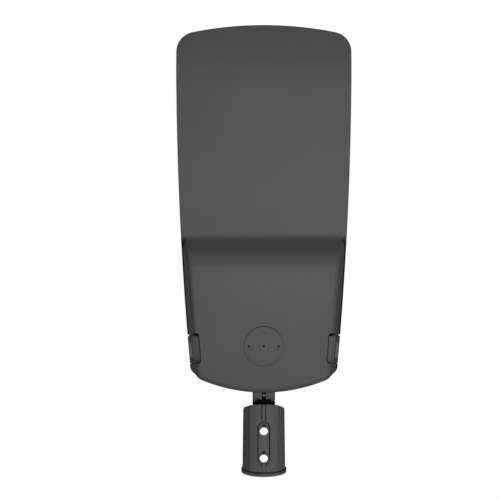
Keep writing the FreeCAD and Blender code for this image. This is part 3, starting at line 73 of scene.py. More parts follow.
def add_maths(tree, operation, first, second=0.0):
    """A Math node's result for two numbers or sockets."""
    item = add_node(tree, "ShaderNodeMath", operation=operation)
    for socket, value in zip(item.inputs, (first, second)):
        if isinstance(value, (int, float)):
            socket.default_value = value
        else:
            tree.links.new(value, socket)
    return item.outputs[0]


def pale_material(name, shade, glow, mirrored):
    """Matt grey that glows for camera and transmitted rays, and by the mirrored share for glossy ones.

    Rays that come from behind it and shadow rays pass through.
    """
    material = bpy.data.materials.new(name)
    material.use_nodes = True
    tree = material.node_tree
    tree.nodes.clear()
    path = add_node(tree, "ShaderNodeLightPath").outputs
    mirror_share = add_maths(tree, "MULTIPLY", path["Is Glossy Ray"], mirrored)
    seen = add_maths(tree, "MAXIMUM", path["Is Camera Ray"], mirror_share)
    seen_through = add_maths(tree, "MAXIMUM", seen, path["Is Transmission Ray"])
    light = add_node(tree, "ShaderNodeEmission")
    tree.links.new(add_maths(tree, "MULTIPLY", seen_through, glow), light.inputs["Strength"])
    matt = add_node(tree, "ShaderNodeBsdfDiffuse")
    matt.inputs["Color"].default_value = (shade, shade, shade, 1)
    solid = add_node(tree, "ShaderNodeAddShader")
    tree.links.new(matt.outputs[0], solid.inputs[0])
    tree.links.new(light.outputs[0], solid.inputs[1])
    behind = add_node(tree, "ShaderNodeNewGeometry").outputs["Backfacing"]
    clear = add_node(tree, "ShaderNodeBsdfTransparent")
    choice = add_node(tree, "ShaderNodeMixShader")
    tree.links.new(add_maths(tree, "MAXIMUM", behind, path["Is Shadow Ray"]), choice.inputs[0])
    tree.links.new(solid.outputs[0], choice.inputs[1])
    tree.links.new(clear.outputs[0], choice.inputs[2])
    output = add_node(tree, "ShaderNodeOutputMaterial")
    tree.links.new(choice.outputs[0], output.inputs["Surface"])
    return material


def flat_sheet(name, corners, material):
    """A flat piece of the studio with four corners."""
    mesh = bpy.data.meshes.new(name)
    mesh.from_pydata(corners, [], [(0, 1, 2, 3)])
    mesh.materials.append(material)
    sheet = bpy.data.objects.new(name, mesh)
    bpy.context.scene.collection.objects.link(sheet)
    return sheet


door_drop = 0.26
table_z = cad_box[0][2] - door_drop
table_reach = 6.0
table = flat_sheet("table_top", [(-table_reach, -table_reach, table_z), (table_reach, -table_reach, table_z),
                                 (table_reach, table_reach, table_z), (-table_reach, table_reach, table_z)],
                   pale_material("pale_table", shade=0.08, glow=0.95, mirrored=0.05))

card_black = bpy.data.materials.new("card_black")
card_black.use_nodes = True
card_shader = card_black.node_tree.nodes["Principled BSDF"]
card_shader.inputs["Base Color"].default_value = (0.01, 0.01, 0.01, 1)
card_shader.inputs["Roughness"].default_value = 1.0
card_x, card_near, card_far, card_top = -0.62, -0.4, 1.2, 0.3
card = flat_sheet("black_card", [(card_x, card_near, table_z), (card_x, card_far, table_z),
                                 (card_x, card_far, card_top), (card_x, card_near, card_top)], card_black)
card.visible_camera = False

# The room lights the object at a plain level and looks white to the camera.
room_light, room_white = 0.44, 1.0
room = bpy.data.worlds.new("room")
bpy.context.scene.world = room
room.use_nodes = True
background = room.node_tree.nodes["Background"]
background.inputs["Color"].default_value = (1, 1, 1, 1)
room_path = add_node(room.node_tree, "ShaderNodeLightPath")
room_seen = add_node(room.node_tree, "ShaderNodeMapRange")
room_seen.inputs["To Min"].default_value = room_light
room_seen.inputs["To Max"].default_value = room_white
room.node_tree.links.new(room_path.outputs["Is Camera Ray"], room_seen.inputs["Value"])
room.node_tree.links.new(room_seen.outputs["Result"], background.inputs["Strength"])


def soft_lamp(name, place, turn, width, power):
    """A square area lamp at a place in metres, turned by Euler angles in degrees, of a power in watts."""
    data = bpy.data.lights.new(name, "AREA")
    data.shape = "SQUARE"
    data.size = width
    data.energy = power
    lamp = bpy.data.objects.new(name, data)
    lamp.location = place
    lamp.rotation_euler = [math.radians(angle) for angle in turn]
    lamp.visible_camera = False
    bpy.context.scene.collection.objects.link(lamp)


soft_lamp("overhead_lamp", place=(0.2, 0.5, 2.6), turn=(0, 5, 0), width=1.4, power=33)
soft_lamp("right_lamp", place=(1.9, 0.1, 1.0), turn=(0, 62, 0), width=1.2, power=3)
soft_lamp("under_lamp", place=(-0.3, 0.3, -2.4), turn=(0, 188, 0), width=1.6, power=60)

# The photograph's view: straight down from 1.42 m above the spigot's axis, which lies a little
# right of the frame's middle. Focal length and the axis's place are in pixels of the frame.
sensor_mm, frame_px, focal_px = 36.0, 500.0, 836.0
axis_px_x, axis_px_y = 263.83, 250.2
view_y, view_height = 0.375, 1.420
camera_data = bpy.data.cameras.new("photo_camera")
camera_data.sensor_width = sensor_mm
camera_data.lens = sensor_mm * focal_px / frame_px
camera_data.shift_x = -(axis_px_x - frame_px / 2) / frame_px
camera_data.shift_y = (axis_px_y - frame_px / 2) / frame_px
camera = bpy.data.objects.new("photo_camera", camera_data)
camera.location = (0.0, view_y, view_height)
bpy.context.scene.collection.objects.link(camera)
bpy.context.scene.camera = camera
bpy.context.scene.view_settings.view_transform = "Standard"


# Castings: head and door are die-cast aluminium under a dark grey powder coat, and the
# barrel's coat is made paler, as painted light. The coat has an orange-peel skin, fine grains
# and wide patches that are a little duller, and painted shade darkens the crease of the rim and the photocell
# pad's marks.

class Finish:
    """One node material with its Principled shader, and short words for adding nodes to it."""

    def __init__(self, name):
        self.material = bpy.data.materials.new(name)
        self.material.use_nodes = True
        self.tree = self.material.node_tree
        self.shader = self.tree.nodes["Principled BSDF"]

    def node(self, kind, **settings):
        """A new node in this material."""
        return add_node(self.tree, kind, **settings)

    def maths(self, operation, first, second=0.0):
        """A Math node's result in this material."""
        return add_maths(self.tree, operation, first, second)

    def feed(self, socket, source):
        """Link a value that changes over the surface to one of the shader's sockets."""
        self.tree.links.new(source, self.shader.inputs[socket])

    def hold(self, **values):
        """Constants on the shader's own sockets, named with underscores for spaces."""
        for name, value in values.items():
            self.shader.inputs[name.replace("_", " ")].default_value = value

    def bump(self, height, strength, distance):
        """Raise the surface by a height, as a Bump node that feeds Normal."""
        self.raised = self.node("ShaderNodeBump")
        self.raised.inputs["Strength"].default_value = strength
        self.raised.inputs["Distance"].default_value = distance
        self.tree.links.new(height, self.raised.inputs["Height"])
        self.feed("Normal", self.raised.outputs["Normal"])


def add_noise(tree, coords, scale, detail):
    """A noise texture's value; the scale is a number or a socket."""
    item = add_node(tree, "ShaderNodeTexNoise")
    item.inputs["Detail"].default_value = detail
    if isinstance(scale, (int, float)):
        item.inputs["Scale"].default_value = scale
    else:
        tree.links.new(scale, item.inputs["Scale"])
    tree.links.new(coords, item.inputs["Vector"])
    return item.outputs["Fac"]


def start_group(name, inputs):
    """A shader node group with named inputs and the outputs Color, Roughness and Height."""
    tree = bpy.data.node_groups.new(name, "ShaderNodeTree")
    for socket_name, kind, value in inputs:
        socket = tree.interface.new_socket(socket_name, in_out="INPUT", socket_type="NodeSocket" + kind)
        socket.default_value = value
    for socket_name, kind in (("Color", "Color"), ("Roughness", "Float"), ("Height", "Float")):
        tree.interface.new_socket(socket_name, in_out="OUTPUT", socket_type="NodeSocket" + kind)
    return tree, tree.nodes.new("NodeGroupInput"), tree.nodes.new("NodeGroupOutput")


def tinted(tree, base, factor):
    """Base colour times a factor that varies over the surface."""
    tint = add_node(tree, "ShaderNodeVectorMath", operation="SCALE")
    tree.links.new(base, tint.inputs[0])
    tree.links.new(factor, tint.inputs["Scale"])
    return tint.outputs[0]


def powder_group():
    """Powder coat: colour, roughness and height from the object's own coordinates.

    Colour is the base times one plus two noises, one of millimetre grains and one of wide
    patches, and roughness rises with both. Height is a noise for orange peel plus a finer one
    for the powder's grain.
    """
    tree, given, out = start_group("powder_coat", (
        ("Base", "Color", (0.09, 0.09, 0.09, 1)), ("Rough", "Float", 0.5), ("Grain", "Float", 0.1),
        ("Grain Scale", "Float", 900.0)))
    coords = tree.nodes.new("ShaderNodeTexCoord").outputs["Object"]
    patch_tint, patch_dull, grain_dull, grain_height = 0.07, 0.12, 0.5, 0.35
    fine = add_noise(tree, coords, scale=given.outputs["Grain Scale"], detail=2)
    wide = add_noise(tree, coords, scale=9, detail=3)
    peel = add_noise(tree, coords, scale=260, detail=1)
    grain = add_maths(tree, "MULTIPLY", add_maths(tree, "SUBTRACT", fine, 0.5), given.outputs["Grain"])
    patches = add_maths(tree, "SUBTRACT", wide, 0.5)
    pale = add_maths(tree, "MULTIPLY", patches, patch_tint)
    factor = add_maths(tree, "ADD", add_maths(tree, "ADD", grain, 1.0), pale)
    tree.links.new(tinted(tree, given.outputs["Base"], factor), out.inputs["Color"])
    dull = add_maths(tree, "ADD", given.outputs["Rough"], add_maths(tree, "MULTIPLY", patches, patch_dull))
    rough = add_maths(tree, "ADD", dull, add_maths(tree, "MULTIPLY", grain, grain_dull))
    tree.links.new(rough, out.inputs["Roughness"])
    height = add_maths(tree, "ADD", add_maths(tree, "MULTIPLY", fine, grain_height), peel)
    tree.links.new(height, out.inputs["Height"])
    return tree


def grouped(name, group, base, rough, bump, **others):
    """A finish whose colour, roughness and bump come from a group; others are the group's inputs."""
    finish = Finish(name)
    layer = finish.node("ShaderNodeGroup", node_tree=group)
    layer.inputs["Base"].default_value = (*base, 1)
    layer.inputs["Rough"].default_value = rough
    for socket, value in others.items():
        layer.inputs[socket.replace("_", " ")].default_value = value
    finish.layer = layer
    finish.feed("Base Color", layer.outputs["Color"])
    finish.feed("Roughness", layer.outputs["Roughness"])
    finish.bump(layer.outputs["Height"], bump, distance=0.0002)
    return finish


def dress(finish, *names):
    """Puts a finish on CAD nodes."""
    for name in names:
        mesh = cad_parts[name].data
        mesh.materials.clear()
        mesh.materials.append(finish.material)


def faded(finish, value, full, none):
    """One where the value is at full, zero where it is at none, straight between."""
    ramp = finish.node("ShaderNodeMapRange")
    ramp.inputs["From Min"].default_value = none
    ramp.inputs["From Max"].default_value = full
    finish.tree.links.new(value, ramp.inputs["Value"])
    return ramp.outputs["Result"]


def paler(finish, mask, grey):
    """The group's base colour turned to another grey where the mask is one."""
    tint = finish.node("ShaderNodeMix", data_type="RGBA")
    tint.inputs["A"].default_value = finish.layer.inputs["Base"].default_value
    tint.inputs["B"].default_value = (grey, grey, grey, 1)
    finish.tree.links.new(mask, tint.inputs["Factor"])
    finish.tree.links.new(tint.outputs["Result"], finish.layer.inputs["Base"])


def darkened(finish, mask, dark):
    """The group's colour turned to a dark one, and its shine taken away, where the mask is one."""
    tint = finish.node("ShaderNodeMix", data_type="RGBA")
    tint.inputs["B"].default_value = (dark, dark, dark, 1)
    finish.tree.links.new(mask, tint.inputs["Factor"])
    finish.tree.links.new(finish.layer.outputs["Color"], tint.inputs["A"])
    finish.feed("Base Color", tint.outputs["Result"])
    plain_shine = 0.5
    shine = finish.maths("MULTIPLY", finish.maths("SUBTRACT", 1.0, mask), plain_shine)
    finish.feed("Specular IOR Level", shine)


def axes(finish):
    """The object's own X, Y and Z as sockets: across, along and upward."""
    place = finish.node("ShaderNodeSeparateXYZ")
    finish.tree.links.new(finish.node("ShaderNodeTexCoord").outputs["Object"], place.inputs[0])
    return [place.outputs[axis] for axis in "XYZ"]


def rim_crease_shade(finish, across, along, upward):
    """Painted shade in the crease at the foot of the hump's long sides, in metres.

    It starts at the rim's round and fades up the wall, from the tail's corners to the ramp. The
    ramp's own foot is left out: there |x| minus y/20 is under 0.11.
    """
    maths = finish.maths
    up_the_wall = faded(finish, upward, full=0.0, none=0.008)
    above_rim = faded(finish, upward, full=-0.0072, none=-0.0078)
    ahead_of_tail = faded(finish, along, full=0.160, none=0.148)
    behind_slab = faded(finish, along, full=0.385, none=0.400)
    low = maths("MULTIPLY", up_the_wall, above_rim)
    length = maths("MULTIPLY", ahead_of_tail, behind_slab)
    aside = maths("SUBTRACT", maths("ABSOLUTE", across), maths("MULTIPLY", along, 0.05))
    at_sides = faded(finish, aside, full=0.113, none=0.110)
    return maths("MULTIPLY", maths("MULTIPLY", low, length), at_sides)


def pad_mark_shade(finish, across, along, upward):
    """Painted shade in the marks of the photocell pad, in metres.

    The drilled marks are three spots, at the middle and the spacing to each side. The pad's edge
    is a ring whose strength is the share of its radius ahead of the middle, or 0.35 of it behind.
    """
    middle, radius, spacing, just_under_pad = 0.217, 0.0326, 0.0243, 0.043
    spot_strength, ring_strength, behind_strength = 0.85, 0.6, 0.35
    maths = finish.maths
    ahead = maths("SUBTRACT", along, middle)
    squared_ahead = maths("MULTIPLY", ahead, ahead)
    aside = maths("ABSOLUTE", across)
    past = maths("SUBTRACT", aside, spacing)
    from_middle = maths("SQRT", maths("ADD", maths("MULTIPLY", aside, aside), squared_ahead))
    from_side = maths("SQRT", maths("ADD", maths("MULTIPLY", past, past), squared_ahead))
    spots = faded(finish, maths("MINIMUM", from_middle, from_side), full=0.0014, none=0.0023)
    from_ring = maths("ABSOLUTE", maths("SUBTRACT", from_middle, radius))
    ring = faded(finish, from_ring, full=0.0003, none=0.0012)
    share = maths("DIVIDE", ahead, radius)
    ring = maths("MULTIPLY", ring, maths("MAXIMUM", share, maths("MULTIPLY", share, -behind_strength)))
    marks = maths("MAXIMUM", maths("MULTIPLY", spots, spot_strength), maths("MULTIPLY", ring, ring_strength))
    return maths("MULTIPLY", marks, maths("GREATER_THAN", upward, just_under_pad))


powder = powder_group()
head_coat = grouped("head_powder_coat", powder, (0.066,) * 3, rough=0.45, bump=0.5, Grain=0.16)
head_coat.hold(IOR=1.3)
head_axes = axes(head_coat)
# Painted light: the barrel's coat is made paler so that its top looks lit.
barrel_painted_light = faded(head_coat, head_axes[1], full=0.135, none=0.138)
paler(head_coat, barrel_painted_light, grey=0.112)
# Painted shade: the rim's crease and the pad's marks are darkened and lose their shine.
painted_shade_marks = head_coat.maths("MAXIMUM", rim_crease_shade(head_coat, *head_axes), pad_mark_shade(head_coat, *head_axes))
darkened(head_coat, painted_shade_marks, dark=0.004)
dress(head_coat, "upper_housing", "gear_door")


# Spigot: die-cast socket that goes on the pole, under the same coat from a slightly paler
# batch. Painted shade darkens the creases of its crest and the ring ahead of its collar, and
# the joint ahead of its slanted end is painted black as the shade in the gap there.

def sunk(finish, mask, strength, distance):
    """A groove where the mask is one, under the finish's own grain."""
    groove = finish.node("ShaderNodeBump", invert=True)
    groove.inputs["Strength"].default_value = strength
    groove.inputs["Distance"].default_value = distance
    finish.tree.links.new(mask, groove.inputs["Height"])
    finish.tree.links.new(groove.outputs["Normal"], finish.raised.inputs["Normal"])


def crest_creases(finish, across, along, upward):
    """Creases of the crest seen from above, in metres, darkened as painted shade and sunk as grooves.

    Distance to the sunk panel's outline is the length of (x, how far y is past the panel's
    straight part) minus its half width; the rib's two edges count only outside the panel; both
    fade to 0.35 of their strength near the mouth. A small oval stands ahead of each clamp hole.
    """
    panel_middle, panel_straight, panel_half, rib_half = 0.054, 0.026, 0.0097, 0.00315
    clamp_holes, ahead_of_hole, just_under_crest = (0.0294, 0.0744), 0.0098, 0.028
    near_mouth, outline_strength, rib_strength, oval_strength = 0.35, 0.9, 0.85, 0.9
    maths = finish.maths
    aside = maths("ABSOLUTE", across)
    from_panel = maths("ABSOLUTE", maths("SUBTRACT", along, panel_middle))
    past = maths("MAXIMUM", maths("SUBTRACT", from_panel, panel_straight), 0.0)
    reach = maths("SQRT", maths("ADD", maths("MULTIPLY", aside, aside), maths("MULTIPLY", past, past)))
    beyond = maths("SUBTRACT", reach, panel_half)
    outline = faded(finish, maths("ABSOLUTE", beyond), full=0.0004, none=0.0013)
    from_edge = maths("ABSOLUTE", maths("SUBTRACT", aside, rib_half))
    beside_rib = faded(finish, from_edge, full=0.0003, none=0.0011)
    rib_edges = maths("MULTIPLY", beside_rib, maths("GREATER_THAN", beyond, 0.0))
    outline = maths("MULTIPLY", outline, outline_strength)
    marks = maths("MAXIMUM", outline, maths("MULTIPLY", rib_edges, rib_strength))
    ahead_of_mouth = maths("MULTIPLY", faded(finish, along, full=0.032, none=0.02), 1.0 - near_mouth)
    marks = maths("MULTIPLY", marks, maths("ADD", near_mouth, ahead_of_mouth))
    for hole in clamp_holes:
        ahead = maths("MULTIPLY", maths("SUBTRACT", along, hole + ahead_of_hole), 2.0)
        oval = maths("SQRT", maths("ADD", maths("MULTIPLY", aside, aside), maths("MULTIPLY", ahead, ahead)))
        oval_mark = maths("MULTIPLY", faded(finish, oval, full=0.002, none=0.004), oval_strength)
        marks = maths("MAXIMUM", marks, oval_mark)
    return maths("MULTIPLY", marks, maths("GREATER_THAN", upward, just_under_crest))


def collar_crease(finish, along):
    """A narrow ring of painted shade just ahead of the collar, by distance along Y from its place in metres.
    """
    place, strength = 0.006, 0.8
    beyond = finish.maths("ABSOLUTE", finish.maths("SUBTRACT", along, place))
    return finish.maths("MULTIPLY", faded(finish, beyond, full=0.0005, none=0.0014), strength)


def ahead_of_end(finish, along, upward):
    """Painted black shade of the joint's gap: one ahead of the slanted end, zero behind it; y minus the end's
    slope times z.
    """
    slope = math.tan(math.radians(20.8))
    place = finish.maths("SUBTRACT", along, finish.maths("MULTIPLY", upward, slope))
    return faded(finish, place, full=0.1074, none=0.1068)


spigot_coat = grouped("spigot_powder_coat", powder, (0.08,) * 3, rough=0.45, bump=0.5, Grain=0.16)
spigot_coat.hold(IOR=1.3)
across, along, upward = axes(spigot_coat)
# Painted shade: the crest's creases and the ring ahead of the collar are darkened; they are also sunk as
# grooves below.
creases = spigot_coat.maths("MAXIMUM", crest_creases(spigot_coat, across, along, upward),
                            collar_crease(spigot_coat, along))
# Painted shade: the joint ahead of the slanted end is painted black for the shade in the gap.
black = spigot_coat.maths("MAXIMUM", creases, ahead_of_end(spigot_coat, along, upward))
darkened(spigot_coat, black, dark=0.006)
sunk(spigot_coat, creases, strength=0.8, distance=0.0012)
dress(spigot_coat, "pole_adaptor")


# Latches: die-cast aluminium with finer grain, under the head's coat made lighter as painted
# light. Painted shade darkens the outer corners, before and behind the finger pad.

def latch_corner_shade(finish):
    """Painted shade on a latch's two outer corners, on the top only, in metres.

    With x and y from the middle of the latch's outer edge and t its turn, a point lies inward by
    y sin t - x cos t and along the side by x sin t + y cos t.
    """
    edge_x, edge_y, turn, strength = 0.1284, 0.2055, math.radians(4.88), 0.65
    maths = finish.maths
    across, along, upward = axes(finish)
    x = maths("SUBTRACT", maths("ABSOLUTE", across), edge_x)
    y = maths("SUBTRACT", along, edge_y)
    inward = maths("SUBTRACT", maths("MULTIPLY", y, math.sin(turn)), maths("MULTIPLY", x, math.cos(turn)))
    ahead = maths("ADD", maths("MULTIPLY", x, math.sin(turn)), maths("MULTIPLY", y, math.cos(turn)))
    near_edge = faded(finish, inward, full=0.0075, none=0.0100)
    past_pad = faded(finish, maths("ABSOLUTE", ahead), full=0.0140, none=0.0122)
    corner = maths("MULTIPLY", near_edge, past_pad)
    on_top = faded(finish, upward, full=-0.003, none=-0.005)
    return maths("MULTIPLY", maths("MULTIPLY", corner, strength), on_top)


# Painted light: this coat is lighter than the head's so that the latches, sunk in the notch, look lit.
latch_coat_painted_lighter = grouped("latch_powder_coat_painted_lighter", powder, (0.09,) * 3, rough=0.42, bump=0.4, Grain=0.14,
                     Grain_Scale=1100.0)
latch_coat_painted_lighter.hold(IOR=1.3)
darkened(latch_coat_painted_lighter, latch_corner_shade(latch_coat_painted_lighter), dark=0.01)
dress(latch_coat_painted_lighter, "latch_right", "latch_left")


# Pins and pivot screws: drawn steel, blackened at the latches and the tilt joint and plain
# stainless at the door's hinge. Fine lines run from side to side and the metal has faint stains.

def metal_group():
    """Worked metal: noise squeezed along one direction by the Squeeze vector makes fine lines.

    Colour is the base times one plus lines and wide stains. Roughness rises with both, and
    the lines are the height.
    """
    tree, given, out = start_group("worked_metal", (
        ("Base", "Color", (0.6, 0.6, 0.6, 1)), ("Rough", "Float", 0.3), ("Lines", "Float", 0.12),
        ("Squeeze", "Vector", (40.0, 1500.0, 1500.0))))
    coords = tree.nodes.new("ShaderNodeTexCoord").outputs["Object"]
    squeezed = add_node(tree, "ShaderNodeVectorMath", operation="MULTIPLY")
    tree.links.new(coords, squeezed.inputs[0])
    tree.links.new(given.outputs["Squeeze"], squeezed.inputs[1])
    stain_tint, stain_dull = 0.15, 0.2
    fine_lines = add_noise(tree, squeezed.outputs[0], scale=1.0, detail=3)
    lines = add_maths(tree, "SUBTRACT", fine_lines, 0.5)
    stains = add_maths(tree, "SUBTRACT", add_noise(tree, coords, scale=60, detail=4), 0.5)
    streak = add_maths(tree, "MULTIPLY", lines, given.outputs["Lines"])
    stained = add_maths(tree, "MULTIPLY", stains, stain_tint)
    factor = add_maths(tree, "ADD", add_maths(tree, "ADD", streak, 1.0), stained)
    tree.links.new(tinted(tree, given.outputs["Base"], factor), out.inputs["Color"])
    worn = add_maths(tree, "ADD", streak, add_maths(tree, "MULTIPLY", stains, stain_dull))
    tree.links.new(add_maths(tree, "ADD", given.outputs["Rough"], worn), out.inputs["Roughness"])
    tree.links.new(lines, out.inputs["Height"])
    return tree


metal = metal_group()
black_steel = grouped("blackened_steel", metal, (0.075, 0.075, 0.078), rough=0.4, bump=0.2,
                      Squeeze=(60.0, 900.0, 900.0))
black_steel.hold(Metallic=1.0)
dress(black_steel, "latch_pin_right", "latch_pin_left", "tilt_screws")
stainless = grouped("stainless_steel", metal, (0.6, 0.6, 0.58), rough=0.28, bump=0.2,
                    Squeeze=(30.0, 1200.0, 1200.0))
stainless.hold(Metallic=1.0)
dress(stainless, "hinge_pins")


# Door gasket, gland ring and grommet: black silicone and rubber, moulded, with a soft grain
# and a little talc in it.

def moulding_group():
    """Moulded plastic or rubber: fine grain, and a wide pale bloom that is also duller."""
    tree, given, out = start_group("moulded_skin", (
        ("Base", "Color", (0.05, 0.05, 0.05, 1)), ("Rough", "Float", 0.5), ("Grain Scale", "Float", 1400.0),
        ("Bloom", "Float", 0.1)))
    coords = tree.nodes.new("ShaderNodeTexCoord").outputs["Object"]
    grain = add_noise(tree, coords, scale=given.outputs["Grain Scale"], detail=2)
    cloud = add_maths(tree, "SUBTRACT", add_noise(tree, coords, scale=25, detail=4), 0.5)
    bloom = add_maths(tree, "MULTIPLY", cloud, given.outputs["Bloom"])
    factor = add_maths(tree, "ADD", 1.0, bloom)
    tree.links.new(tinted(tree, given.outputs["Base"], factor), out.inputs["Color"])
    tree.links.new(add_maths(tree, "ADD", given.outputs["Rough"], bloom), out.inputs["Roughness"])
    tree.links.new(grain, out.inputs["Height"])
    return tree


moulding = moulding_group()
rubber = grouped("black_rubber", moulding, (0.02, 0.02, 0.021), rough=0.62, bump=0.3, Bloom=0.5)
dress(rubber, "door_gasket", "gland_seal", "lead_grommet")


# LED window: cast frame with the head's coat a shade lighter, toughened flat glass, and a grey
# silicone gasket pressed between glass and housing.

def clear_finish(name, colour, ior, smear, wave):
    """Clear glass or plastic: a slow wave in its surface, and smears that dull it a little."""
    finish = Finish(name)
    coords = finish.node("ShaderNodeTexCoord").outputs["Object"]
    finish.hold(Base_Color=(*colour, 1), Transmission_Weight=1.0, IOR=ior)
    cloud = add_noise(finish.tree, coords, scale=14, detail=3)
    finish.feed("Roughness", finish.maths("MULTIPLY", cloud, smear))
    finish.bump(add_noise(finish.tree, coords, scale=20, detail=1), wave, distance=0.0003)
    return finish


frame_coat = grouped("frame_powder_coat", powder, (0.072,) * 3, rough=0.5, bump=0.6, Grain=0.2)
frame_coat.hold(IOR=1.3)
dress(frame_coat, "glass_frame")
silicone = grouped("grey_silicone", moulding, (0.22,) * 3, rough=0.5, bump=0.25, Bloom=0.3)
dress(silicone, "glass_gasket")
glass = clear_finish("toughened_glass", (0.965, 0.985, 0.975), ior=1.5, smear=0.02, wave=0.05)
dress(glass, "window_glass")


# Screws of the window frame, modules, tray, earth and driver: stainless cap screws with a
# rounded head and a hexagon socket, turned and broached.

def places(node, spread):
    """Middle of each like solid of a CAD node.

    Vertices nearer than spread to the first one left, seen from above, are one solid; the
    middle of their box is its place.
    """
    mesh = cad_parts[node].data
    left = np.empty(len(mesh.vertices) * 3)
    mesh.vertices.foreach_get("co", left)
    left = left.reshape(-1, 3)
    found = []
    while len(left):
        near = np.hypot(left[:, 0] - left[0, 0], left[:, 1] - left[0, 1]) < spread
        found.append((left[near].min(axis=0) + left[near].max(axis=0)) / 2)
        left = left[~near]
    return np.array(found)


def turned(profile, sides, shape=None):
    """A closed turned solid round Z from a profile that starts and ends on the axis, going down.

    Ring i has the radius and height of profile point i; shape(angle, i) gives a factor on the
    radius. The two points on the axis are single vertices.
    """
    profile = np.asarray(profile, float)
    angle = np.arange(sides) * 2 * np.pi / sides
    radius = profile[1:-1, 0][:, None] * np.ones(sides)
    if shape is not None:
        radius = radius * shape(angle[None, :], np.arange(1, len(profile) - 1)[:, None])
    height = profile[1:-1, 1][:, None] * np.ones(sides)
    rings = np.stack([radius * np.cos(angle), radius * np.sin(angle), height], axis=2).reshape(-1, 3)
    vertices = np.vstack([[0, 0, profile[0, 1]], rings, [0, 0, profile[-1, 1]]])
    ring = np.arange(len(rings)).reshape(-1, sides) + 1
    after = np.roll(ring, -1, axis=1)
    quads = np.stack([ring[:-1], ring[1:], after[1:], after[:-1]], axis=2).reshape(-1, 4)
    last = len(vertices) - 1
    start = np.stack([np.zeros(sides, int), ring[0], after[0]], axis=1)
    end = np.stack([np.full(sides, last), after[-1], ring[-1]], axis=1)
    return vertices, quads.tolist() + start.tolist() + end.tolist()


def hexagon(angle):
    """Radius of a hexagon of unit apothem at an angle."""
    return 1 / np.cos(np.mod(angle, np.pi / 3) - np.pi / 6)


def add_piece(name, vertices, faces, finish, body, node, flat=30):
    """A mesh piece in metres that rides on a body and stands for a CAD node.

    Edges over flat degrees are sharp.
    """
    mesh = bpy.data.meshes.new(name)
    mesh.from_pydata(np.asarray(vertices).tolist(), [], faces)
    mesh.materials.append(finish.material)
    mesh.shade_smooth()
    mesh.set_sharp_from_angle(angle=math.radians(flat))
    item = bpy.data.objects.new(name, mesh)
    bpy.context.scene.collection.objects.link(item)
    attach(item, body)
    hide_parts(node)


def repeated(vertices, faces, spots):
    """The same mesh at each spot, as one mesh."""
    many = (vertices[None, :, :] + spots[:, None, :]).reshape(-1, 3)
    count = len(vertices)
    return many, [[corner + step * count for corner in face] for step in range(len(spots)) for face in faces]


def add_screws(name, node, shank, head, head_height, key):
    """Cap screws at a CAD node's places, tip up; shank and head are radii, key is across the flats.

    The profile runs from the tip's chamfer down the shank, out under the head, round the
    head's lower edge and up into the socket, whose rings are hexagons of the key's size.
    """
    low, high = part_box(node)
    half = (high[2] - low[2]) / 2
    edge = 0.22 * head_height
    turn = np.linspace(0, np.pi / 2, 5)
    rounded = np.stack([head - edge + edge * np.cos(turn), -half + edge - edge * np.sin(turn)], axis=1)
    foot = -half + head_height
    depth = -half + 0.62 * head_height
    socket = key / 2
    profile = np.vstack([[(0, half), (0.75 * shank, half), (shank, half - 0.3 * shank), (shank, foot),
                          (head - 0.1 * edge, foot), (head, foot - 0.1 * edge)], rounded,
                         [(socket * 1.08, -half), (socket, -half + 0.06 * head_height), (socket, depth),
                          (0, depth)]])
    first = len(profile) - 4

    def shape(angle, index):
        """A hexagon in the socket, round elsewhere."""
        return np.where(index >= first, hexagon(angle), 1.0)

    vertices, faces = turned(profile, sides=36, shape=shape)
    many, all_faces = repeated(vertices, faces, places(node, spread=0.009))
    add_piece(name, many, all_faces, screw_steel, "lamp_head", node)


screw_steel = grouped("screw_steel", metal, (0.62, 0.62, 0.6), rough=0.26, bump=0.15,
                      Squeeze=(700.0, 700.0, 60.0))
screw_steel.hold(Metallic=1.0)
for name, node, shank, head, head_height, key in (
        ("frame_cap_screws", "frame_screws", 0.002, 0.00375, 0.0026, 0.003),
        ("module_cap_screws", "module_screws", 0.0015, 0.00275, 0.0018, 0.0022),
        ("tray_cap_screws", "tray_screws", 0.00195, 0.0038, 0.0024, 0.003),
        ("earth_cap_screw", "earth_screw", 0.002, 0.0038, 0.0024, 0.003),
        ("driver_cap_screws", "driver_screws", 0.002, 0.0038, 0.0024, 0.003)):
    add_screws(name, node, shank, head, head_height, key)


# Guide screw of the tilt joint: a dull steel grub screw that stands out of the drum in the
# barrel's slot and leans back to the spigot, its end domed with a shallow hexagon.

pivot_y, guide_lean = 0.140, math.radians(26)
reach_in, reach_out, guide_radius = 0.0093, 0.0225, 0.003
flat_radius, edge_drop = 0.0012, 0.0006
socket_radius, socket_mouth, socket_depth = 0.001, 0.0011, 0.0005
bow = np.linspace(0, 1, 5)
dome_r = guide_radius - (guide_radius - flat_radius) * bow
dome_z = reach_out - edge_drop * (1 - bow) ** 2
grub = np.vstack([[(0, reach_out - socket_depth), (socket_radius, reach_out - socket_depth),
                   (socket_mouth, reach_out)], np.stack([dome_r, dome_z], axis=1)[::-1],
                  [(guide_radius, reach_in), (0, reach_in)]])
vertices, faces = turned(grub, sides=36, shape=lambda angle, index: np.where(index < 3, hexagon(angle), 1.0))
level, rise = math.cos(guide_lean), math.sin(guide_lean)
vertices = np.stack([vertices[:, 0], pivot_y + vertices[:, 1] * level - vertices[:, 2] * rise,
                     vertices[:, 1] * rise + vertices[:, 2] * level], axis=1)
dull_steel = grouped("dull_steel", metal, (0.2,) * 3, rough=0.5, bump=0.2, Squeeze=(900.0, 900.0, 900.0))
dull_steel.hold(Metallic=1.0)
add_piece("guide_grub_screw", vertices, faces, dull_steel, "pole_adaptor", "guide_screw")


# LED boards: aluminium core boards under white solder mask. Wide copper fields lie under the
# mask, and it is greener in the gaps between them, half way between the LEDs.

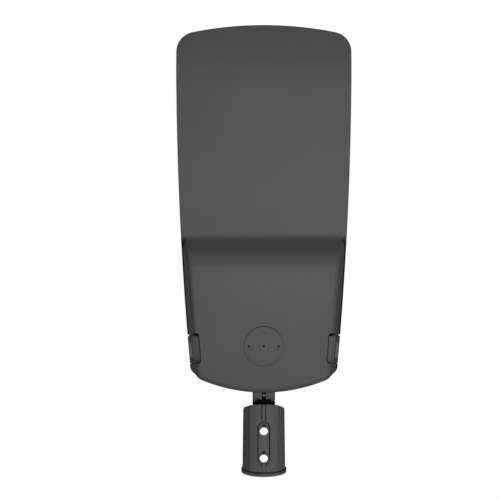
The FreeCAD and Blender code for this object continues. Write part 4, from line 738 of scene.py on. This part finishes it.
lamps = places("leds", spread=0.006)
columns = np.unique(np.round(lamps[:, 0], 4))
column_pitch, row_pitch = float(columns[1] - columns[0]), 0.036
left_of_all = float(columns[0]) - 10 * column_pitch
gap_width, gap_strength = 0.0012, 0.8
board_finish = grouped("white_solder_mask", moulding, (0.84, 0.84, 0.82), rough=0.38, bump=0.1, Bloom=0.06)


def field_gap(place, first, pitch):
    """One in narrow stripes that lie half a pitch from the LEDs' rows, zero elsewhere."""
    maths = board_finish.maths
    phase = maths("DIVIDE", maths("SUBTRACT", place, first), pitch)
    offset = maths("ABSOLUTE", maths("SUBTRACT", maths("FRACT", phase), 0.5))
    return maths("LESS_THAN", offset, gap_width / pitch / 2)


board_x, board_y = axes(board_finish)[:2]
gaps = board_finish.maths("MAXIMUM", field_gap(board_x, left_of_all, column_pitch),
                          field_gap(board_y, 0.0, row_pitch))
board_tint = board_finish.node("ShaderNodeMix", data_type="RGBA")
board_tint.inputs["B"].default_value = (0.62, 0.64, 0.58, 1)
board_finish.tree.links.new(board_finish.maths("MULTIPLY", gaps, gap_strength), board_tint.inputs["Factor"])
board_finish.tree.links.new(board_finish.layer.outputs["Color"], board_tint.inputs["A"])
board_finish.feed("Base Color", board_tint.outputs["Result"])
dress(board_finish, "led_board_1", "led_board_2", "led_board_3", "led_board_4")


# LEDs: square white ceramic packages soldered to the boards, each with a round silicone dome
# over yellow phosphor.

def squared(angle, power):
    """Radius of a square with rounded corners and unit half side: a superellipse."""
    return (np.abs(np.cos(angle)) ** power + np.abs(np.sin(angle)) ** power) ** (-1 / power)


led_low, led_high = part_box("leds")
tall = float(led_high[2] - led_low[2])
half_side, cup_mouth, cup_floor = 0.0025, 0.0021, 0.0020
side_end, rim_level, floor_level = -tall * 0.1, -tall * 0.17, -tall * 0.05
package = [(0, tall / 2), (half_side, tall / 2), (half_side, side_end), (half_side * 0.96, rim_level),
           (cup_mouth, rim_level), (cup_floor, floor_level), (0, floor_level)]
vertices, faces = turned(package, sides=32,
                         shape=lambda angle, index: np.where(index <= 3, squared(angle, power=8), 1.0))
many, all_faces = repeated(vertices, faces, lamps)
ceramic = grouped("white_ceramic", moulding, (0.82, 0.82, 0.8), rough=0.3, bump=0.05, Bloom=0.04)
add_piece("led_packages", many, all_faces, ceramic, "lamp_head", "leds")

dome_radius, dome_foot, dome_height = 0.0019, -tall * 0.02, tall * 0.48
turn = np.linspace(0, np.pi / 2, 7)
dome = np.stack([dome_radius * np.cos(turn), dome_foot - dome_height * np.sin(turn)], axis=1)
vertices, faces = turned(np.vstack([[(0, dome_foot)], dome[:-1], [(0, -tall / 2)]]), sides=28)
many, all_faces = repeated(vertices, faces, lamps)
phosphor = grouped("yellow_phosphor", moulding, (0.86, 0.66, 0.16), rough=0.25, bump=0.05, Bloom=0.15,
                   Grain_Scale=2500.0)
phosphor.hold(Subsurface_Weight=0.2, Subsurface_Radius=(0.001, 0.0008, 0.0003), Coat_Weight=0.6,
              Coat_Roughness=0.08)
add_piece("led_phosphor_domes", many, all_faces, phosphor, "lamp_head", "leds")


# Lens plates: one clear acrylic moulding over each board. Every LED has its own lens, a flat
# dome with a shallow saddle below and a small hollow above, round the LED; four feet stand up
# to the board round the screw holes.

def lens_plate(name, node, holes, spots):
    """Two height fields on one grid, joined at their outer edge and round the screw holes.

    Below: the plate's underside minus the lens's depth times (1 - (r/R)^2.6)^0.6, with r from
    the nearest LED, times a saddle of 1 minus 0.2 times a bell across X. Above: the plate's
    top, plus the feet round the holes, minus an elliptic hollow. Grid points at a hole are
    pulled onto its edge.
    """
    step, hole_radius, hole_margin = 0.001, 0.0017, 0.0004
    lens_radius, lens_depth, saddle_width = 0.012, 0.006, 0.0035
    hollow_radius, hollow_depth, foot_radius, foot_height = 0.0036, 0.0028, 0.004, 0.0012
    low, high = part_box(node)
    xs = np.linspace(low[0], high[0], int(round((high[0] - low[0]) / step)) + 1)
    ys = np.linspace(low[1], high[1], int(round((high[1] - low[1]) / step)) + 1)
    x, y = np.meshgrid(xs, ys)
    own_holes = holes[(holes[:, 1] > low[1]) & (holes[:, 1] < high[1])]
    own_spots = spots[(spots[:, 1] > low[1]) & (spots[:, 1] < high[1])]
    to_hole = np.hypot(x[..., None] - own_holes[:, 0], y[..., None] - own_holes[:, 1])
    nearest = to_hole.argmin(axis=2)
    reach = to_hole.min(axis=2)
    at_hole = reach < hole_radius + hole_margin
    cell = ~(at_hole[:-1, :-1] & at_hole[1:, :-1] & at_hole[:-1, 1:] & at_hole[1:, 1:])
    pull = np.where(at_hole, hole_radius / np.maximum(reach, 1e-6), 1.0)
    centre_x, centre_y = own_holes[nearest, 0], own_holes[nearest, 1]
    x = centre_x + (x - centre_x) * pull
    y = centre_y + (y - centre_y) * pull

    to_led = np.hypot(x[..., None] - own_spots[:, 0], y[..., None] - own_spots[:, 1])
    from_led = to_led.min(axis=2)
    aside = x - own_spots[to_led.argmin(axis=2), 0]
    dome = np.clip(1 - (from_led / lens_radius) ** 2.6, 0, 1) ** 0.6
    saddle = 1 - 0.2 * np.exp(-(aside / saddle_width) ** 2)
    below = low[2] + lens_depth - lens_depth * dome * saddle
    hollow = hollow_depth * np.sqrt(np.clip(1 - (from_led / hollow_radius) ** 2, 0, 1))
    feet = np.where(np.hypot(x - centre_x, y - centre_y) < foot_radius, foot_height, 0.0)
    above = np.minimum(high[2] - foot_height - hollow + feet, high[2])

    vertices = np.vstack([np.stack([x, y, above], axis=2).reshape(-1, 3),
                          np.stack([x, y, below], axis=2).reshape(-1, 3)])
    count = x.size
    index = np.arange(count).reshape(x.shape)
    near_left, near_right = index[:-1, :-1], index[:-1, 1:]
    far_left, far_right = index[1:, :-1], index[1:, 1:]
    upper = np.stack([near_left, near_right, far_right, far_left], axis=2)[cell]
    lower = np.stack([far_left, far_right, near_right, near_left], axis=2)[cell] + count
    padded = np.pad(cell, 1)
    walls = []
    for start, end, beside in (
            (near_left, near_right, padded[:-2, 1:-1]), (near_right, far_right, padded[1:-1, 2:]),
            (far_right, far_left, padded[2:, 1:-1]), (far_left, near_left, padded[1:-1, :-2])):
        border = cell & ~beside
        first, second = start[border], end[border]
        walls.append(np.stack([second, first, first + count, second + count], axis=1))
    faces = np.vstack([upper, lower, *walls])
    used = np.unique(faces)
    renumber = np.zeros(len(vertices), int)
    renumber[used] = np.arange(len(used))
    add_piece(name, vertices[used], renumber[faces].tolist(), acrylic, "lamp_head", node,
              flat=40)


acrylic = clear_finish("clear_acrylic", (0.985, 0.99, 0.99), ior=1.49, smear=0.03, wave=0.04)
screw_spots = places("module_screws", spread=0.009)
for number in range(1, 5):
    lens_plate("lens_moulding_%d" % number, "lens_plate_%d" % number, screw_spots, lamps)


# Gear tray: folded galvanised sheet. Its zinc has crystals a few millimetres across, each a
# little lighter or darker than the next.

zinc = Finish("galvanised_sheet")
zinc_coords = zinc.node("ShaderNodeTexCoord").outputs["Object"]
crystals = zinc.node("ShaderNodeTexVoronoi")
crystals.inputs["Scale"].default_value = 170
zinc.tree.links.new(zinc_coords, crystals.inputs["Vector"])
crystal_shade = zinc.node("ShaderNodeSeparateColor")
zinc.tree.links.new(crystals.outputs["Color"], crystal_shade.inputs["Color"])
zinc_tint = zinc.node("ShaderNodeMix", data_type="RGBA")
zinc_tint.inputs["A"].default_value = (0.5, 0.52, 0.54, 1)
zinc_tint.inputs["B"].default_value = (0.68, 0.69, 0.7, 1)
zinc.tree.links.new(crystal_shade.outputs["Red"], zinc_tint.inputs["Factor"])
zinc.feed("Base Color", zinc_tint.outputs["Result"])
plain_dull, crystal_dull = 0.3, 0.18
duller = zinc.maths("MULTIPLY", crystal_shade.outputs["Green"], crystal_dull)
zinc.feed("Roughness", zinc.maths("ADD", plain_dull, duller))
zinc.bump(add_noise(zinc.tree, zinc_coords, scale=300, detail=2), strength=0.15, distance=0.0002)
zinc.hold(Metallic=0.95)
dress(zinc, "gear_tray")


# Gear: driver in a white moulded case, surge protector in a red one, terminal block in
# off-white polyamide. All are plain mouldings with a spark-eroded grain and no print.

def lid_seam(finish, level):
    """A thin groove round a case where its lid meets its box, at one level in metres."""
    upward = axes(finish)[2]
    from_seam = finish.maths("ABSOLUTE", finish.maths("SUBTRACT", upward, level))
    seam = faded(finish, from_seam, full=0.0002, none=0.0006)
    shade_strength = 0.75
    darkened(finish, finish.maths("MULTIPLY", seam, shade_strength), dark=0.05)
    sunk(finish, seam, strength=0.8, distance=0.0008)


white_case = grouped("white_case", moulding, (0.74, 0.74, 0.72), rough=0.45, bump=0.35, Bloom=0.06,
                     Grain_Scale=900.0)
lid_seam(white_case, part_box("led_driver")[0][2] + 0.004)
dress(white_case, "led_driver")
red_case = grouped("red_case", moulding, (0.52, 0.035, 0.025), rough=0.4, bump=0.3, Bloom=0.12,
                   Grain_Scale=1000.0)
lid_seam(red_case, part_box("surge_protector")[0][2] + 0.003)
dress(red_case, "surge_protector")
polyamide = grouped("off_white_polyamide", moulding, (0.72, 0.7, 0.63), rough=0.35, bump=0.2, Bloom=0.08)
dress(polyamide, "terminal_block")


# Cable gland: black polyamide body in the barrel's wall, and a cap nut with grip ribs that
# squeezes the seal on the cable.

def ring_solid(profile, sides, ribs, rib_height):
    """A closed ring round Y from a closed profile of radius, place along Y and a mark.

    A point marked one lies inward by the rib's height times one minus the wave, which is the
    cosine of the number of ribs times the angle, clipped at zero.
    """
    profile = np.asarray(profile, float)
    angle = np.arange(sides) * 2 * np.pi / sides
    wave = np.maximum(np.cos(ribs * angle), 0)[None, :]
    radius = profile[:, 0][:, None] - rib_height * profile[:, 2][:, None] * (1 - wave)
    along = profile[:, 1][:, None] * np.ones(sides)
    vertices = np.stack([radius * np.cos(angle), along, radius * np.sin(angle)], axis=2).reshape(-1, 3)
    ring = np.arange(len(vertices)).reshape(len(profile), sides)
    below = np.roll(ring, -1, axis=0)
    quads = np.stack([ring, below, np.roll(below, -1, axis=1), np.roll(ring, -1, axis=1)], axis=2)
    return vertices, quads.reshape(-1, 4).tolist()


black_polyamide = grouped("black_polyamide", moulding, (0.028, 0.028, 0.03), rough=0.42, bump=0.25, Bloom=0.3)
dress(black_polyamide, "gland_body")

nut_low, nut_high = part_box("gland_nut")
nut_outer, nut_foot, nut_end = float(nut_high[0]), float(nut_low[1]), float(nut_high[1])
bore, mouth, mouth_chamfer, foot_chamfer = 0.0045, 0.0052, 0.0007, 0.0006
crown_round, grip_end = 0.004, 0.0048
crown = [(nut_outer - crown_round + crown_round * math.cos(turn),
          nut_end - crown_round + crown_round * math.sin(turn), 0) for turn in np.linspace(0, np.pi / 2, 6)]
nut_profile = [(bore, nut_foot, 0), (nut_outer - foot_chamfer, nut_foot, 0),
               (nut_outer, nut_foot + foot_chamfer, 1), (nut_outer, nut_end - grip_end, 1), *crown,
               (mouth, nut_end, 0), (bore, nut_end - mouth_chamfer, 0)]
vertices, faces = ring_solid(nut_profile, sides=96, ribs=16, rib_height=0.0007)
add_piece("gland_cap_nut", vertices, faces, black_polyamide, "lamp_head", "gland_nut")
